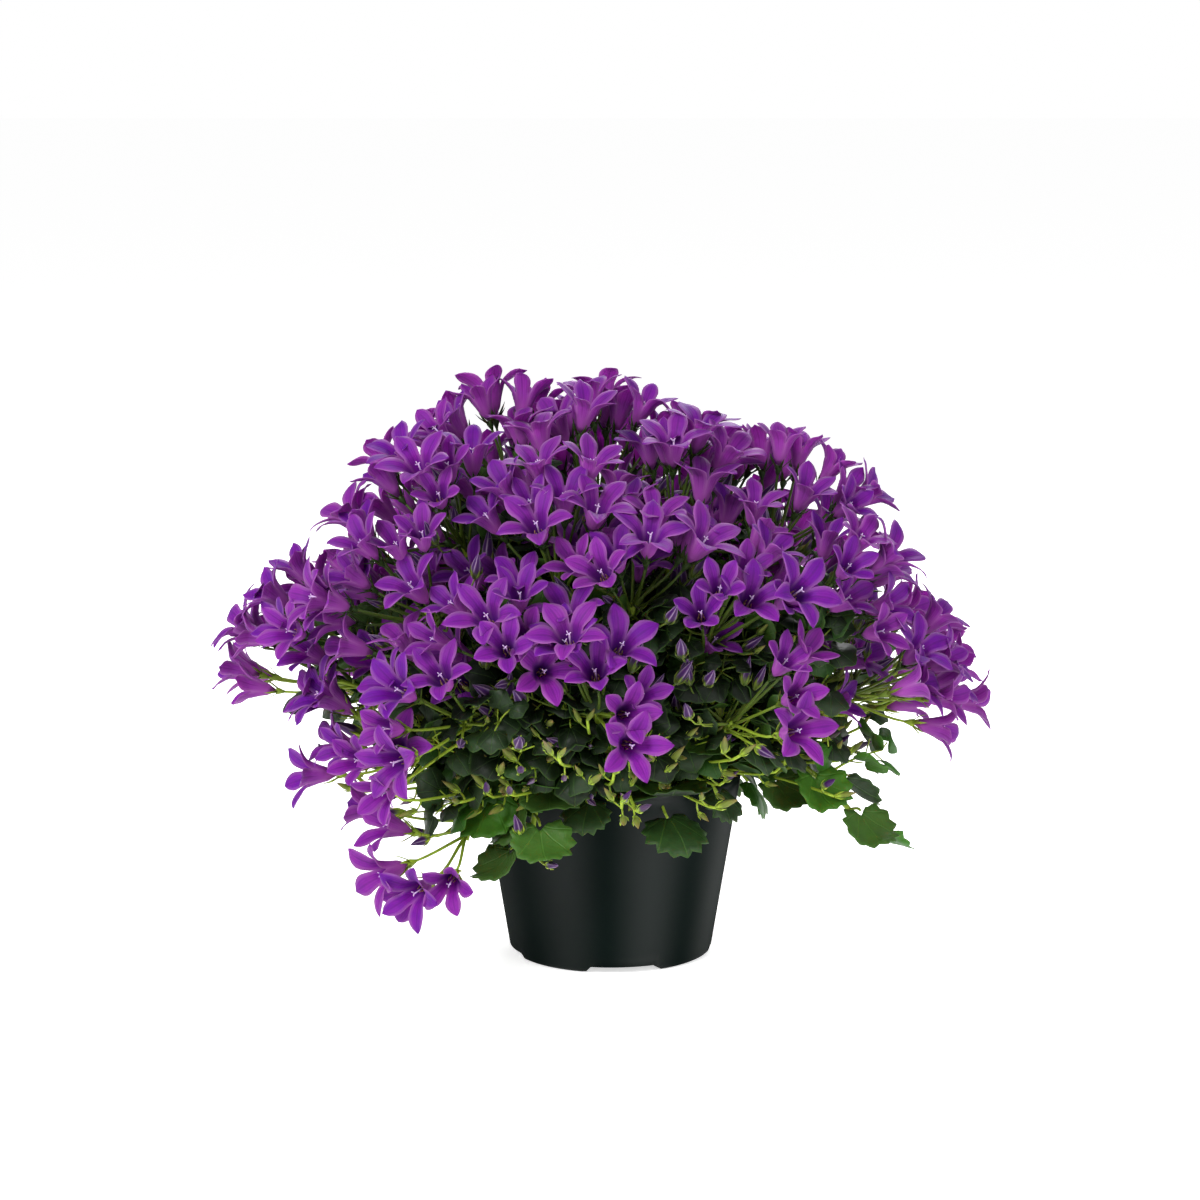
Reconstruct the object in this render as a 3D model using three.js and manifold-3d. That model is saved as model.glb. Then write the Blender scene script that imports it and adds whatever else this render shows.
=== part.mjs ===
// A potted bellflower: a dome of violet bells on leafy stems in a plain plastic pot.
// Millimetres, +Z up. The origin is the centre of the circle that the pot's feet stand on,
// and -Y is the side that the plant is seen from.
import * as THREE from 'three';
import Module from 'manifold-3d';
import { mergeVertices } from 'three/addons/utils/BufferGeometryUtils.js';

const wasm = await Module();
wasm.setup();
const degrees = THREE.MathUtils.degToRad;
const FULL_TURN = Math.PI * 2;

// Pot
const RIM_RADIUS = 61.5;
const POT_HEIGHT = 90;
const HEEL_RADIUS = 47.3;
const HEEL_HEIGHT = 3;
const WALL = 1.6;
const POT_SIDES = 28;
const FOOT_HEIGHT = 2;
const FOOT_OUTER_RADIUS = 45;
const FOOT_INNER_RADIUS = 38.5;
const FLOOR = 1.6;
const FOOT_CHAMFER = 0.5;
const FOOT_GAP_ANGLE = degrees(44);
const FOOT_GAP_TURN = degrees(-82);
const FOOT_GAP_START = 34.5;
const FOOT_GAP_END = 60;
const CUT_EXTRA = 1;
const DRAIN_RADIUS = 3.6;
const DRAIN_CIRCLE = 24;
const DRAIN_SIDES = 6;
const DRAIN_TURN = degrees(8);

// Soil
const SOIL_EDGE_HEIGHT = 80;
const SOIL_MOUND = 3.5;
const SOIL_SIDES = 12;
const SOIL_LEVEL_SHARE = 0.6;

// Gaps and surfaces
const CLEARANCE = 0.3;
const SURFACE_TOLERANCE = 0.06;
const MERGE_DISTANCE = 1e-4;
const SMALLEST_CROSS = 1e-6;

// Stems
const STEM_RADIUS = 1.5;
const STEM_TIP_RADIUS = 1.2;
const STEM_DEPTH = 14;
const STEM_STEPS = 3;
const HOLE_MARGIN = 1;
const HOLE_EXTRA_DEPTH = 0.4;
const STEM_FOOT_HEIGHT = 85;
const CROWN_HEIGHT = 80;
const CROWN_INNER_RADIUS = 7;
const CROWN_OUTER_RADIUS = 45;
const ARCH = 30;
const ARCH_LOWEST = -4;
const TRAILING_BEND = 2;
const LAST_PLACE = 0.9999;

// Blooms, for one of full size
const BLOOM = {
  throatDepth: 5,
  notchRadius: 6.8,
  notchHeight: 15.5,
  openTip: { radius: 17.4, height: 18.6 },
  closedTip: { radius: 13.5, height: 23 },
  backShare: 0.33,
  lobeThickness: 1.2,
};
const BLOOM_MIN = 0.84;
const BLOOM_MAX = 1.08;
const HEAD_DEPTH = 52;
const PEDICEL_LENGTH = 33;
const PEDICEL_VARIATION = 3;
const FIRST_PEDICEL_CUT = 2;
const PEDICEL_RADIUS = 0.5;
const PEDICEL_BACKS = [1.6, 3.5, 5.5, 7.5, 10, 12.5, 15];
const CALYX_RADIUS = 1.9;
const FAN_FIRST = 0.08;
const FAN_FIRST_SWING = 0.3;
const FAN_INNER = degrees(28);
const FAN_OUTER = degrees(54);
const FACING_AXIS_SHARE = 0.3;
const FACING_UP_SHARE = 0.15;
const GOLDEN_ANGLE = Math.PI * (3 - Math.sqrt(5));

// Joining blooms: volumes shared with the rest of the head, in cubic millimetres, and costs,
// in triangles that a join adds.
const LEAST_LAP = 0.15;
const MOST_LAP = 8;
const GOOD_COST = 11;
const COST_SLACK = 2;
const BUD_COST_LIMIT = 24;
const LEAF_COST_LIMIT = 30;

// Buds
const BUD_LENGTH = 12;
const BUD_SHORTEST_SHARE = 0.7;
const BUD_SHARE_RANGE = 0.4;
const BUD_RADIUS = 2.3;
const BUD_FOOT_RADIUS = 0.6;
const BUD_BELLY_SHARE = 0.45;
const BUD_UP_SHARE = 0.3;

// Leaves: half of the outline and the middle for a blade of size 1, and how they are turned
const LEAF_HALF = [
  [0.34, -0.12, -0.09],
  [0.52, 0.2, -0.13],
  [0.38, 0.34, -0.04],
  [0.34, 0.66, -0.11],
  [0.17, 0.66, -0.04],
];
const LEAF_TIP = [0, 0.88, -0.1];
const LEAF_MIDDLE = [0, 0.3, 0.045];
const LEAF_THICKNESS = 0.9;
const LEAF_NECK_RISE = 0.3;
const LEAF_SHORTEST_SHARE = 0.95;
const LEAF_SHARE_RANGE = 0.1;
const LEAF_SIDE_TURN = 0.5;
const LEAF_TILT_RANGE = 0.25;
const LEAF_TIP_TURN_SHARE = 0.8;
const LEAF_HANG = 0.4;
const STALK_RADIUS = 0.75;
const ROOT_SHARE = 0.7;
const ROOT_SHIFTS = [0, 0.04, -0.04, 0.08, -0.08];
const LOW_LEAVES = [
  { along: 0.1, petiole: 36, size: 29, side: 1 },
  { along: 0.4, petiole: 17, size: 24, side: -1 },
  { along: 0.64, petiole: 12, size: 20, side: 1 },
  { along: 0.22, petiole: 26, size: 27, side: -1 },
  { along: 0.82, petiole: 9, size: 17, side: -1 },
];
const HIGH_LEAVES = [
  { along: 0.34, petiole: 16, size: 25, side: 1 },
  { along: 0.58, petiole: 13, size: 23, side: -1 },
  { along: 0.8, petiole: 10, size: 19, side: 1 },
  { along: 0.16, petiole: 30, size: 28, side: -1 },
];
const TRAILING_LEAVES = [
  { along: 0.97, petiole: 10, size: 24, side: 1 },
  { along: 0.84, petiole: 14, size: 26, side: -1 },
  { along: 0.7, petiole: 15, size: 26, side: 1 },
  { along: 0.56, petiole: 16, size: 25, side: -1 },
  { along: 0.42, petiole: 18, size: 25, side: 1 },
  { along: 0.28, petiole: 20, size: 24, side: -1 },
  { along: 0.14, petiole: 26, size: 25, side: 1 },
];
const LOW_RISE = 46;

// Each spray: turn from the front towards +X and rise above the level, in degrees, reach from
// the crown to the face of its middle bloom, in millimetres, and its numbers of blooms, buds
// and leaves.
const SPRAYS = [
  { turn: -98, rise: 71, reach: 196, blooms: 8, buds: 2, leaves: 2 },
  { turn: -140, rise: 86, reach: 185, blooms: 8, buds: 1, leaves: 2 },
  { turn: 60, rise: 75, reach: 179, blooms: 7, buds: 1, leaves: 2 },
  { turn: -67, rise: 58, reach: 194, blooms: 8, buds: 2, leaves: 2 },
  { turn: -23, rise: 59, reach: 175, blooms: 8, buds: 1, leaves: 2 },
  { turn: 8, rise: 54, reach: 169, blooms: 8, buds: 1, leaves: 3 },
  { turn: 84, rise: 56, reach: 188, blooms: 8, buds: 1, leaves: 2 },
  { turn: 34, rise: 46, reach: 168, blooms: 8, buds: 2, leaves: 4 },
  { turn: 64, rise: 40, reach: 179, blooms: 8, buds: 1, leaves: 3 },
  { turn: -56, rise: 42, reach: 187, blooms: 7, buds: 1, leaves: 3 },
  { turn: -74, rise: 30, reach: 193, blooms: 7, buds: 1, leaves: 3 },
  { turn: -87, rise: 21, reach: 188, blooms: 7, buds: 1, leaves: 3 },
  { turn: -25, rise: 38, reach: 165, blooms: 8, buds: 1, leaves: 3 },
  { turn: -4, rise: 29, reach: 157, blooms: 8, buds: 2, leaves: 4 },
  { turn: -39, rise: 23, reach: 164, blooms: 7, buds: 2, leaves: 4 },
  { turn: -57, rise: 12, reach: 156, blooms: 6, buds: 2, leaves: 3 },
  { turn: -47, rise: -9, reach: 142, blooms: 6, buds: 1, leaves: 4 },
  { turn: 36, rise: 25, reach: 153, blooms: 5, buds: 3, leaves: 4 },
  { turn: 76, rise: 22, reach: 176, blooms: 7, buds: 1, leaves: 3 },
  { turn: 128, rise: 62, reach: 174, blooms: 8, buds: 1, leaves: 2 },
  { turn: 180, rise: 62, reach: 172, blooms: 8, buds: 1, leaves: 2 },
  { turn: -130, rise: 55, reach: 178, blooms: 8, buds: 1, leaves: 2 },
  { turn: 107, rise: 17, reach: 184, blooms: 8, buds: 1, leaves: 2 },
  { turn: 156, rise: 40, reach: 167, blooms: 8, buds: 1, leaves: 2 },
  { turn: -158, rise: 36, reach: 167, blooms: 8, buds: 1, leaves: 2 },
  { turn: -114, rise: 30, reach: 179, blooms: 7, buds: 1, leaves: 2 },
  { turn: 130, rise: 35, reach: 170, blooms: 7, buds: 1, leaves: 3 },
  { turn: -142, rise: 12, reach: 165, blooms: 7, buds: 1, leaves: 3 },
  { turn: 70, rise: -7, reach: 176, blooms: 0, buds: 0, leaves: 7 },
  { turn: -27, rise: -12, reach: 134, blooms: 0, buds: 2, leaves: 6 },
];

const POT_FINISH = new THREE.MeshStandardMaterial({ color: 0x20282a, roughness: 0.5, metalness: 0 });
const SOIL_FINISH = new THREE.MeshStandardMaterial({ color: 0x2a1d14, roughness: 1, metalness: 0 });
const GREEN_FINISH = new THREE.MeshStandardMaterial({ color: 0x4c7a2c, roughness: 0.7, metalness: 0 });
const VIOLET_FINISH = new THREE.MeshStandardMaterial({ color: 0x6a1f8e, roughness: 0.6, metalness: 0 });

// A repeatable number from 0 to 1 for each set of whole numbers.
function chance(spray, item, kind) {
  const wave = Math.sin(spray * 12.9898 + item * 78.233 + kind * 37.719) * 43758.5453;
  return wave - Math.floor(wave);
}

// A closed mesh as a solid that can be joined and cut.
function solidOf(geometry) {
  const bare = geometry.clone();
  bare.deleteAttribute('normal');
  bare.deleteAttribute('uv');
  const merged = mergeVertices(bare, MERGE_DISTANCE);
  return new wasm.Manifold(new wasm.Mesh({
    numProp: 3,
    vertProperties: new Float32Array(merged.attributes.position.array),
    triVerts: new Uint32Array(merged.index.array),
  }));
}

// A solid as a mesh that can be drawn.
function geometryOf(solid) {
  const mesh = solid.getMesh();
  const geometry = new THREE.BufferGeometry();
  const corners = new Float32Array(mesh.vertProperties);
  geometry.setAttribute('position', new THREE.BufferAttribute(corners, 3));
  geometry.setIndex(new THREE.BufferAttribute(new Uint32Array(mesh.triVerts), 1));
  geometry.computeVertexNormals();
  return geometry;
}

// A mesh from a list of points and the numbers of each triangle's three corners.
function indexedGeometry(points, triangles) {
  const geometry = new THREE.BufferGeometry();
  const numbers = points.flatMap((point) => point.toArray());
  geometry.setAttribute('position', new THREE.Float32BufferAttribute(numbers, 3));
  geometry.setIndex(triangles);
  return geometry;
}

// The unit vector at a turn from the front and a rise above the level.
function heading(turn, rise) {
  const level = Math.cos(rise);
  return new THREE.Vector3(Math.sin(turn) * level, -Math.cos(turn) * level, Math.sin(rise));
}

// Two unit vectors across a direction, the first as level as it can be.
function crossAxes(direction) {
  const flat = new THREE.Vector3(0, 0, 1).cross(direction);
  if (flat.lengthSq() < SMALLEST_CROSS) flat.set(1, 0, 0);
  flat.normalize();
  return [flat, direction.clone().cross(flat).normalize()];
}

// A direction at an angle round a fan's or a ring's middle line.
function outward([first, second], angle) {
  return first.clone().multiplyScalar(Math.cos(angle)).addScaledVector(second, Math.sin(angle));
}

// The direction in the plane across a line that is nearest to another direction.
function flattened(direction, line) {
  return direction.clone().addScaledVector(line, -direction.dot(line)).normalize();
}

// The corners of a three-sided ring.
function triangleRing({ centre, facing, radius }, across) {
  const first = flattened(across, facing);
  const axes = [first, facing.clone().cross(first)];
  return [0, 1, 2].map((side) => centre.clone()
    .addScaledVector(outward(axes, (side / 3) * FULL_TURN), radius));
}

// A closed three-sided body through rings of corners, with a flat end, or with a point.
function ringedGeometry(rings, point) {
  const points = rings.flat();
  const triangles = [0, 2, 1];
  for (let base = 0; base < points.length - 3; base += 3) {
    for (let side = 0; side < 3; side += 1) {
      const here = base + side;
      const next = base + ((side + 1) % 3);
      triangles.push(here, next, next + 3, here, next + 3, here + 3);
    }
  }
  const end = points.length - 3;
  if (point) {
    points.push(point);
    triangles.push(end, end + 1, end + 3, end + 1, end + 2, end + 3, end + 2, end, end + 3);
  } else {
    triangles.push(end, end + 1, end + 2);
  }
  return indexedGeometry(points, triangles);
}

// A bell with its foot at the origin and its mouth along +Z: a five-sided wall that widens
// from the foot to the notches, and five pointed lobes that spread from them.
function bloomGeometry(size, openness) {
  const tipRadius = THREE.MathUtils.lerp(BLOOM.closedTip.radius, BLOOM.openTip.radius, openness);
  const tipHeight = THREE.MathUtils.lerp(BLOOM.closedTip.height, BLOOM.openTip.height, openness);
  const innerRadius = BLOOM.notchRadius * Math.cos(Math.PI / 5);
  const slope = Math.atan2(tipHeight - BLOOM.notchHeight, tipRadius - innerRadius);
  const backRadius = THREE.MathUtils.lerp(innerRadius, tipRadius, BLOOM.backShare)
    + BLOOM.lobeThickness * Math.sin(slope);
  const backHeight = THREE.MathUtils.lerp(BLOOM.notchHeight, tipHeight, BLOOM.backShare)
    - BLOOM.lobeThickness * Math.cos(slope);
  const points = [];
  const corner = (radius, angle, height) => {
    points.push(new THREE.Vector3(radius * Math.cos(angle), radius * Math.sin(angle), height)
      .multiplyScalar(size));
    return points.length - 1;
  };
  const five = (radius, shift, height) => [0, 1, 2, 3, 4]
    .map((index) => corner(radius, ((index + shift) * FULL_TURN) / 5, height));
  const foot = corner(0, 0, 0);
  const throat = corner(0, 0, BLOOM.throatDepth);
  const notch = five(BLOOM.notchRadius, -0.5, BLOOM.notchHeight);
  const tip = five(tipRadius, 0, tipHeight);
  const back = five(backRadius, 0, backHeight);
  const triangles = [];
  for (let index = 0; index < 5; index += 1) {
    const next = (index + 1) % 5;
    const rim = [foot, notch[next], tip[index], notch[index]];
    rim.forEach((point, place) => triangles.push(back[index], point, rim[(place + 1) % 4]));
    triangles.push(throat, notch[index], notch[next]);
    triangles.push(notch[index], tip[index], notch[next]);
  }
  return indexedGeometry(points, triangles);
}

// A kidney-shaped blade with coarse teeth on its stalk, as one body. The blade's stalk end is at
// its own origin, its tip along +Y, and it is arched; the stalk's root is given in its axes.
function leafGeometry(size, root) {
  const vector = ([x, y, z]) => new THREE.Vector3(x, y, z);
  const otherHalf = LEAF_HALF.map(([x, y, z]) => [-x, y, z]).reverse();
  const outline = [...LEAF_HALF, LEAF_TIP, ...otherHalf].map((p) => vector(p).multiplyScalar(size));
  const neck = [
    [STALK_RADIUS, 0, LEAF_NECK_RISE],
    [-STALK_RADIUS, 0, LEAF_NECK_RISE],
    [0, 0, -STALK_RADIUS],
  ].map(vector);
  const rootRing = neck.map((point) => point.clone().multiplyScalar(ROOT_SHARE).add(root));
  const middle = vector(LEAF_MIDDLE).multiplyScalar(size);
  const raised = middle.clone().setZ(middle.z + LEAF_THICKNESS);
  const points = [...rootRing, ...neck, ...outline, raised, middle];
  const [right, left, low] = [3, 4, 5];
  const above = points.length - 2;
  const below = points.length - 1;
  const edge = [right, ...outline.map((point, index) => 6 + index), left];
  const triangles = [0, 1, 2, above, left, right, below, right, low, below, low, left];
  for (let index = 0; index < edge.length - 1; index += 1) {
    triangles.push(above, edge[index], edge[index + 1], below, edge[index + 1], edge[index]);
  }
  for (let index = 0; index < 3; index += 1) {
    const next = (index + 1) % 3;
    triangles.push(index, 3 + index, 3 + next, index, 3 + next, next);
  }
  return indexedGeometry(points, triangles);
}

// The placing of a piece modelled along +Z: at a point, pointing along a direction, rolled.
function placing(point, direction, roll) {
  const x = outward(crossAxes(direction), roll);
  const y = direction.clone().cross(x);
  return new THREE.Matrix4().makeBasis(x, y, direction).setPosition(point);
}

// The middle line of a spray's stem: straight up out of the soil, then one bow to the fork. A
// trailing stem bows higher, over the pot's rim.
function stemRoute(spray) {
  const turn = degrees(spray.turn);
  const axis = heading(turn, degrees(spray.rise));
  const spread = 1 - Math.max(spray.rise, 0) / 90;
  const rootRadius = CROWN_INNER_RADIUS + (CROWN_OUTER_RADIUS - CROWN_INNER_RADIUS) * spread;
  const root = heading(turn, 0).multiplyScalar(rootRadius).setZ(STEM_FOOT_HEIGHT);
  const crown = new THREE.Vector3(0, 0, CROWN_HEIGHT);
  const fork = crown.addScaledVector(axis, spray.reach - HEAD_DEPTH);
  const bow = root.clone().add(fork).multiplyScalar(0.5);
  const bend = spray.rise < 0 ? TRAILING_BEND * spray.rise : spray.rise;
  bow.z += Math.max(ARCH_LOWEST, ARCH - bend);
  return { axis, root, fork, curve: new THREE.QuadraticBezierCurve3(root, bow, fork) };
}

// A stem with three sides through its route, wider by a margin, up to the fork or to an end.
function stemGeometry(route, margin, end) {
  const depth = STEM_DEPTH + (margin > 0 ? HOLE_EXTRA_DEPTH : 0);
  const stops = [{ centre: route.root.clone().setZ(route.root.z - depth), radius: STEM_RADIUS }];
  for (let step = 0; step <= STEM_STEPS; step += 1) {
    const along = step / STEM_STEPS;
    const radius = THREE.MathUtils.lerp(STEM_RADIUS, STEM_TIP_RADIUS, along);
    stops.push({ centre: route.curve.getPoint(along), radius });
  }
  if (end) stops.push(end);
  const last = stops.length - 1;
  let across = null;
  const rings = stops.map((stop, step) => {
    const before = stops[Math.max(step - 1, 0)].centre;
    const facing = stop.facing ?? stops[Math.min(step + 1, last)].centre.clone().sub(before).normalize();
    across = across ? flattened(across, facing) : crossAxes(facing)[0];
    return triangleRing({ ...stop, facing, radius: stop.radius + margin }, across);
  });
  return ringedGeometry(rings);
}

// Solids already placed, each with the node that owns it, its box and its solid.
const placed = [];
const bodies = new Map();

// True if two boxes are nearer to each other than a gap.
function near(box, other, gap) {
  return [0, 1, 2].every((i) => box.min[i] - gap < other.max[i] && other.min[i] < box.max[i] + gap);
}

// Places a solid and joins it to its owner's body.
function add(owner, solid) {
  placed.push({ owner, solid, box: solid.boundingBox() });
  bodies.set(owner, bodies.has(owner) ? bodies.get(owner).add(solid) : solid);
}

// A solid with its flat faces and slight bends redrawn with the fewest triangles.
function thrifty(solid) {
  return solid.asOriginal().simplify(SURFACE_TOLERANCE);
}

// How many triangles a solid would cost its owner's body beyond its own.
function joint(solid, owner) {
  const box = solid.boundingBox();
  return placed
    .filter((item) => item.owner === owner && near(box, item.box, 0))
    .reduce((sum, item) => {
      const joined = thrifty(item.solid.add(solid));
      return sum + joined.numTri() - item.solid.numTri() - solid.numTri();
    }, 0);
}

// True if a solid keeps the clearance to all solids placed so far, apart from one owner's.
function isClear(solid, except) {
  const box = solid.boundingBox();
  const close = placed.filter((item) => item.owner !== except && near(box, item.box, CLEARANCE));
  if (close.some((item) => !item.solid.intersect(solid).isEmpty())) return false;
  return close.every((item) => item.solid.minGap(solid, CLEARANCE * 2) >= CLEARANCE);
}

// How much of a solid lies inside those that one owner has placed.
function shared(solid, owner) {
  const box = solid.boundingBox();
  return placed
    .filter((item) => item.owner === owner && near(box, item.box, 0))
    .reduce((sum, item) => sum + item.solid.intersect(solid).volume(), 0);
}

// A body turned round the Z axis from a list of radii and heights.
function turned(profile, sides) {
  const lathe = new THREE.LatheGeometry(profile.map(([r, z]) => new THREE.Vector2(r, z)), sides);
  return solidOf(lathe.rotateX(Math.PI / 2));
}

// The gap between two feet, as a wedge that is cut away.
function footGap(turn) {
  const across = FOOT_GAP_END * Math.sin(FOOT_GAP_ANGLE / 2);
  const out = FOOT_GAP_END * Math.cos(FOOT_GAP_ANGLE / 2);
  const outline = new THREE.Shape();
  outline.moveTo(FOOT_GAP_START, 0);
  outline.lineTo(out, -across);
  outline.lineTo(out, across);
  const depth = FOOT_HEIGHT + CUT_EXTRA;
  const wedge = new THREE.ExtrudeGeometry(outline, { depth, bevelEnabled: false });
  return solidOf(wedge.translate(0, 0, -CUT_EXTRA).rotateZ(turn));
}

// A drainage hole through the floor.
function drainHole(turn) {
  const depth = FLOOR + 2 * CUT_EXTRA;
  const hole = new THREE.CylinderGeometry(DRAIN_RADIUS, DRAIN_RADIUS, depth, DRAIN_SIDES);
  return solidOf(hole.rotateX(Math.PI / 2)
    .translate(DRAIN_CIRCLE, 0, FOOT_HEIGHT + FLOOR / 2)
    .rotateZ(turn));
}

// A tapered pot with a rounded-in heel, on four feet with gaps between them.
function makePot() {
  const body = turned([
    [0, FOOT_HEIGHT],
    [FOOT_INNER_RADIUS - FOOT_CHAMFER, FOOT_HEIGHT],
    [FOOT_INNER_RADIUS, 0],
    [FOOT_OUTER_RADIUS, 0],
    [HEEL_RADIUS, HEEL_HEIGHT],
    [RIM_RADIUS, POT_HEIGHT],
    [RIM_RADIUS - WALL, POT_HEIGHT],
    [HEEL_RADIUS - WALL, FOOT_HEIGHT + FLOOR],
    [0, FOOT_HEIGHT + FLOOR],
  ], POT_SIDES);
  return [0, 1, 2, 3].map((quarter) => quarter * (FULL_TURN / 4)).reduce(
    (pot, turn) => pot.subtract(footGap(FOOT_GAP_TURN + turn)).subtract(drainHole(DRAIN_TURN + turn)),
    body,
  );
}

// The soil fills the pot, a little lower at the wall, with a plain hole for each stem.
function makeSoil(routes) {
  const floor = FOOT_HEIGHT + FLOOR + CLEARANCE;
  const slope = (RIM_RADIUS - HEEL_RADIUS) / (POT_HEIGHT - HEEL_HEIGHT);
  const wallAt = (height) => HEEL_RADIUS + slope * (height - HEEL_HEIGHT) - WALL - 2 * CLEARANCE;
  const top = SOIL_EDGE_HEIGHT + SOIL_MOUND;
  const mound = turned([
    [0, floor],
    [wallAt(floor), floor],
    [wallAt(SOIL_EDGE_HEIGHT), SOIL_EDGE_HEIGHT],
    [wallAt(SOIL_EDGE_HEIGHT) * SOIL_LEVEL_SHARE, top],
    [0, top],
  ], SOIL_SIDES);
  return routes.reduce(
    (soil, route) => soil.subtract(solidOf(stemGeometry(route, HOLE_MARGIN))),
    mound,
  );
}

// A point on the stem's straight-sided middle line, from 0 at the soil to 1 at the fork.
function stemPoint(route, along) {
  const place = Math.min(Math.max(along, 0), LAST_PLACE) * STEM_STEPS;
  const step = Math.floor(place);
  const from = route.curve.getPoint(step / STEM_STEPS);
  return from.lerp(route.curve.getPoint((step + 1) / STEM_STEPS), place - step);
}

// Small moves that are tried in turn, the slightest first, to place a piece clear of the rest.
function trials(ranges) {
  const lists = Object.entries(ranges);
  let rows = [{ cost: 0 }];
  lists.forEach(([name, values]) => {
    rows = rows.flatMap((row) => values
      .map((value, rank) => ({ ...row, [name]: value, cost: row.cost + rank })));
  });
  return rows.sort((a, b) => a.cost - b.cost);
}

const BLOOM_TRIALS = trials({
  roll: [0, 0.33, 0.66],
  slide: [0, -4, 4, -8, 8],
  swing: [0, 0.3, -0.3, 0.6, -0.6],
  widen: [1, 0.85, 1.15, 0.7, 1.3],
});

// The direction in which a piece leaves the fork: tilted from the spray's axis, at an angle
// round it.
function fanned(route, around, open) {
  return route.axis.clone().multiplyScalar(Math.cos(open))
    .addScaledVector(outward(crossAxes(route.axis), around), Math.sin(open));
}

// One bloom of a fan: the first along the spray's axis, the others round it, turned by the
// golden angle, each a little further out than the one before.
function bloomTrial(route, sprayIndex, index, spray, trial) {
  const first = index === 0;
  const around = index * GOLDEN_ANGLE + chance(sprayIndex, 0, 2) * FULL_TURN + trial.swing;
  const rank = (index - 1) / Math.max(spray.blooms - 2, 1);
  const open = first
    ? FAN_FIRST + FAN_FIRST_SWING * Math.abs(trial.swing)
    : THREE.MathUtils.lerp(FAN_INNER, FAN_OUTER, rank) * trial.widen;
  const direction = fanned(route, around, open);
  const length = PEDICEL_LENGTH + trial.slide + PEDICEL_VARIATION * chance(sprayIndex, index, 3)
    - (first ? FIRST_PEDICEL_CUT : 0);
  const seat = route.fork.clone().addScaledVector(direction, length);
  const facing = direction.clone().addScaledVector(route.axis, FACING_AXIS_SHARE);
  facing.z += FACING_UP_SHARE;
  facing.normalize();
  const openness = chance(sprayIndex, index, 1);
  const size = THREE.MathUtils.lerp(BLOOM_MIN, BLOOM_MAX, openness);
  const geometry = bloomGeometry(size, openness);
  geometry.applyMatrix4(placing(seat, facing, (trial.roll * FULL_TURN) / 5));
  const centre = seat.clone().addScaledVector(facing, -CLEARANCE);
  return { bloom: solidOf(geometry), calyx: { centre, facing, radius: CALYX_RADIUS * size } };
}

// A three-sided limb from a root inside a stem through rings to a flat end, or to a point where
// one is given. The root is a small copy of the first ring, so the limb's sides are flat.
function limbGeometry(root, rings, point) {
  const first = rings[0];
  const [across] = crossAxes(first.centre.clone().sub(root).normalize());
  const corners = rings.map((ring) => triangleRing(ring, across));
  const share = PEDICEL_RADIUS / first.radius;
  const rootRing = corners[0]
    .map((corner) => corner.clone().sub(first.centre).multiplyScalar(share).add(root));
  return ringedGeometry([rootRing, ...corners], point);
}

// The places near the top of a stem where a pedicel may leave it.
function pedicelRoots(route) {
  const length = route.curve.getLength();
  return PEDICEL_BACKS.map((back) => stemPoint(route, 1 - back / length));
}

// The best of several candidates that are clear: the one that costs its body least.
function cheapest(candidates, owner) {
  let best = null;
  candidates.forEach((solid) => {
    if (!isClear(solid, owner)) return;
    const cost = joint(solid, owner);
    if (best === null || cost < best.cost) best = { solid, cost };
  });
  return best;
}

// A bloom's pedicel up to its calyx: for the first bloom the stem itself goes on to it.
function pedicelFor(route, calyx, green, first) {
  if (!first) {
    const roots = pedicelRoots(route);
    return cheapest(roots.map((root) => solidOf(limbGeometry(root, [calyx]))), green);
  }
  const solid = solidOf(stemGeometry(route, 0, calyx));
  return isClear(solid, green) ? { solid } : null;
}

// A trial's bloom and pedicel with their cost, or null if they don't fit or cost too much.
function fittedBloom(route, sprayIndex, index, spray, trial, most) {
  const violet = `blooms_${sprayIndex}`;
  const first = index === 0;
  const { bloom, calyx } = bloomTrial(route, sprayIndex, index, spray, trial);
  if (!first) {
    const lap = shared(bloom, violet);
    if (lap < LEAST_LAP || lap > MOST_LAP) return null;
  }
  const cost = (first ? 0 : joint(bloom, violet)) + trial.cost;
  if (cost >= most || !isClear(bloom, violet)) return null;
  const pedicel = pedicelFor(route, calyx, `leafy_stem_${sprayIndex}`, first);
  return pedicel === null ? null : { bloom, pedicel: pedicel.solid, cost, trialCost: trial.cost };
}

// The blooms of a spray, each where it fits best. A bloom that fits nowhere is left out.
function placeBlooms(route, sprayIndex, spray) {
  const green = `leafy_stem_${sprayIndex}`;
  for (let index = 0; index < spray.blooms; index += 1) {
    let best = null;
    for (const trial of BLOOM_TRIALS) {
      if (best !== null && trial.cost > best.trialCost + COST_SLACK) break;
      const fitted = fittedBloom(route, sprayIndex, index, spray, trial, best?.cost ?? Infinity);
      if (fitted === null) continue;
      best = fitted;
      if (best.cost <= GOOD_COST) break;
    }
    if (best === null) continue;
    add(`blooms_${sprayIndex}`, best.bloom);
    if (index === 0) replaceStem(green, best.pedicel);
    else add(green, best.pedicel);
  }
}

function replaceStem(owner, solid) {
  placed.splice(placed.findIndex((item) => item.owner === owner), 1);
  bodies.delete(owner);
  add(owner, solid);
}

const BUD_TRIALS = trials({
  reach: [17, 14, 20],
  swing: [0, 0.4, -0.4, 0.8, -0.8, 1.2, -1.2],
  open: [0.95, 1.15, 0.75, 1.4],
});

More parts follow.
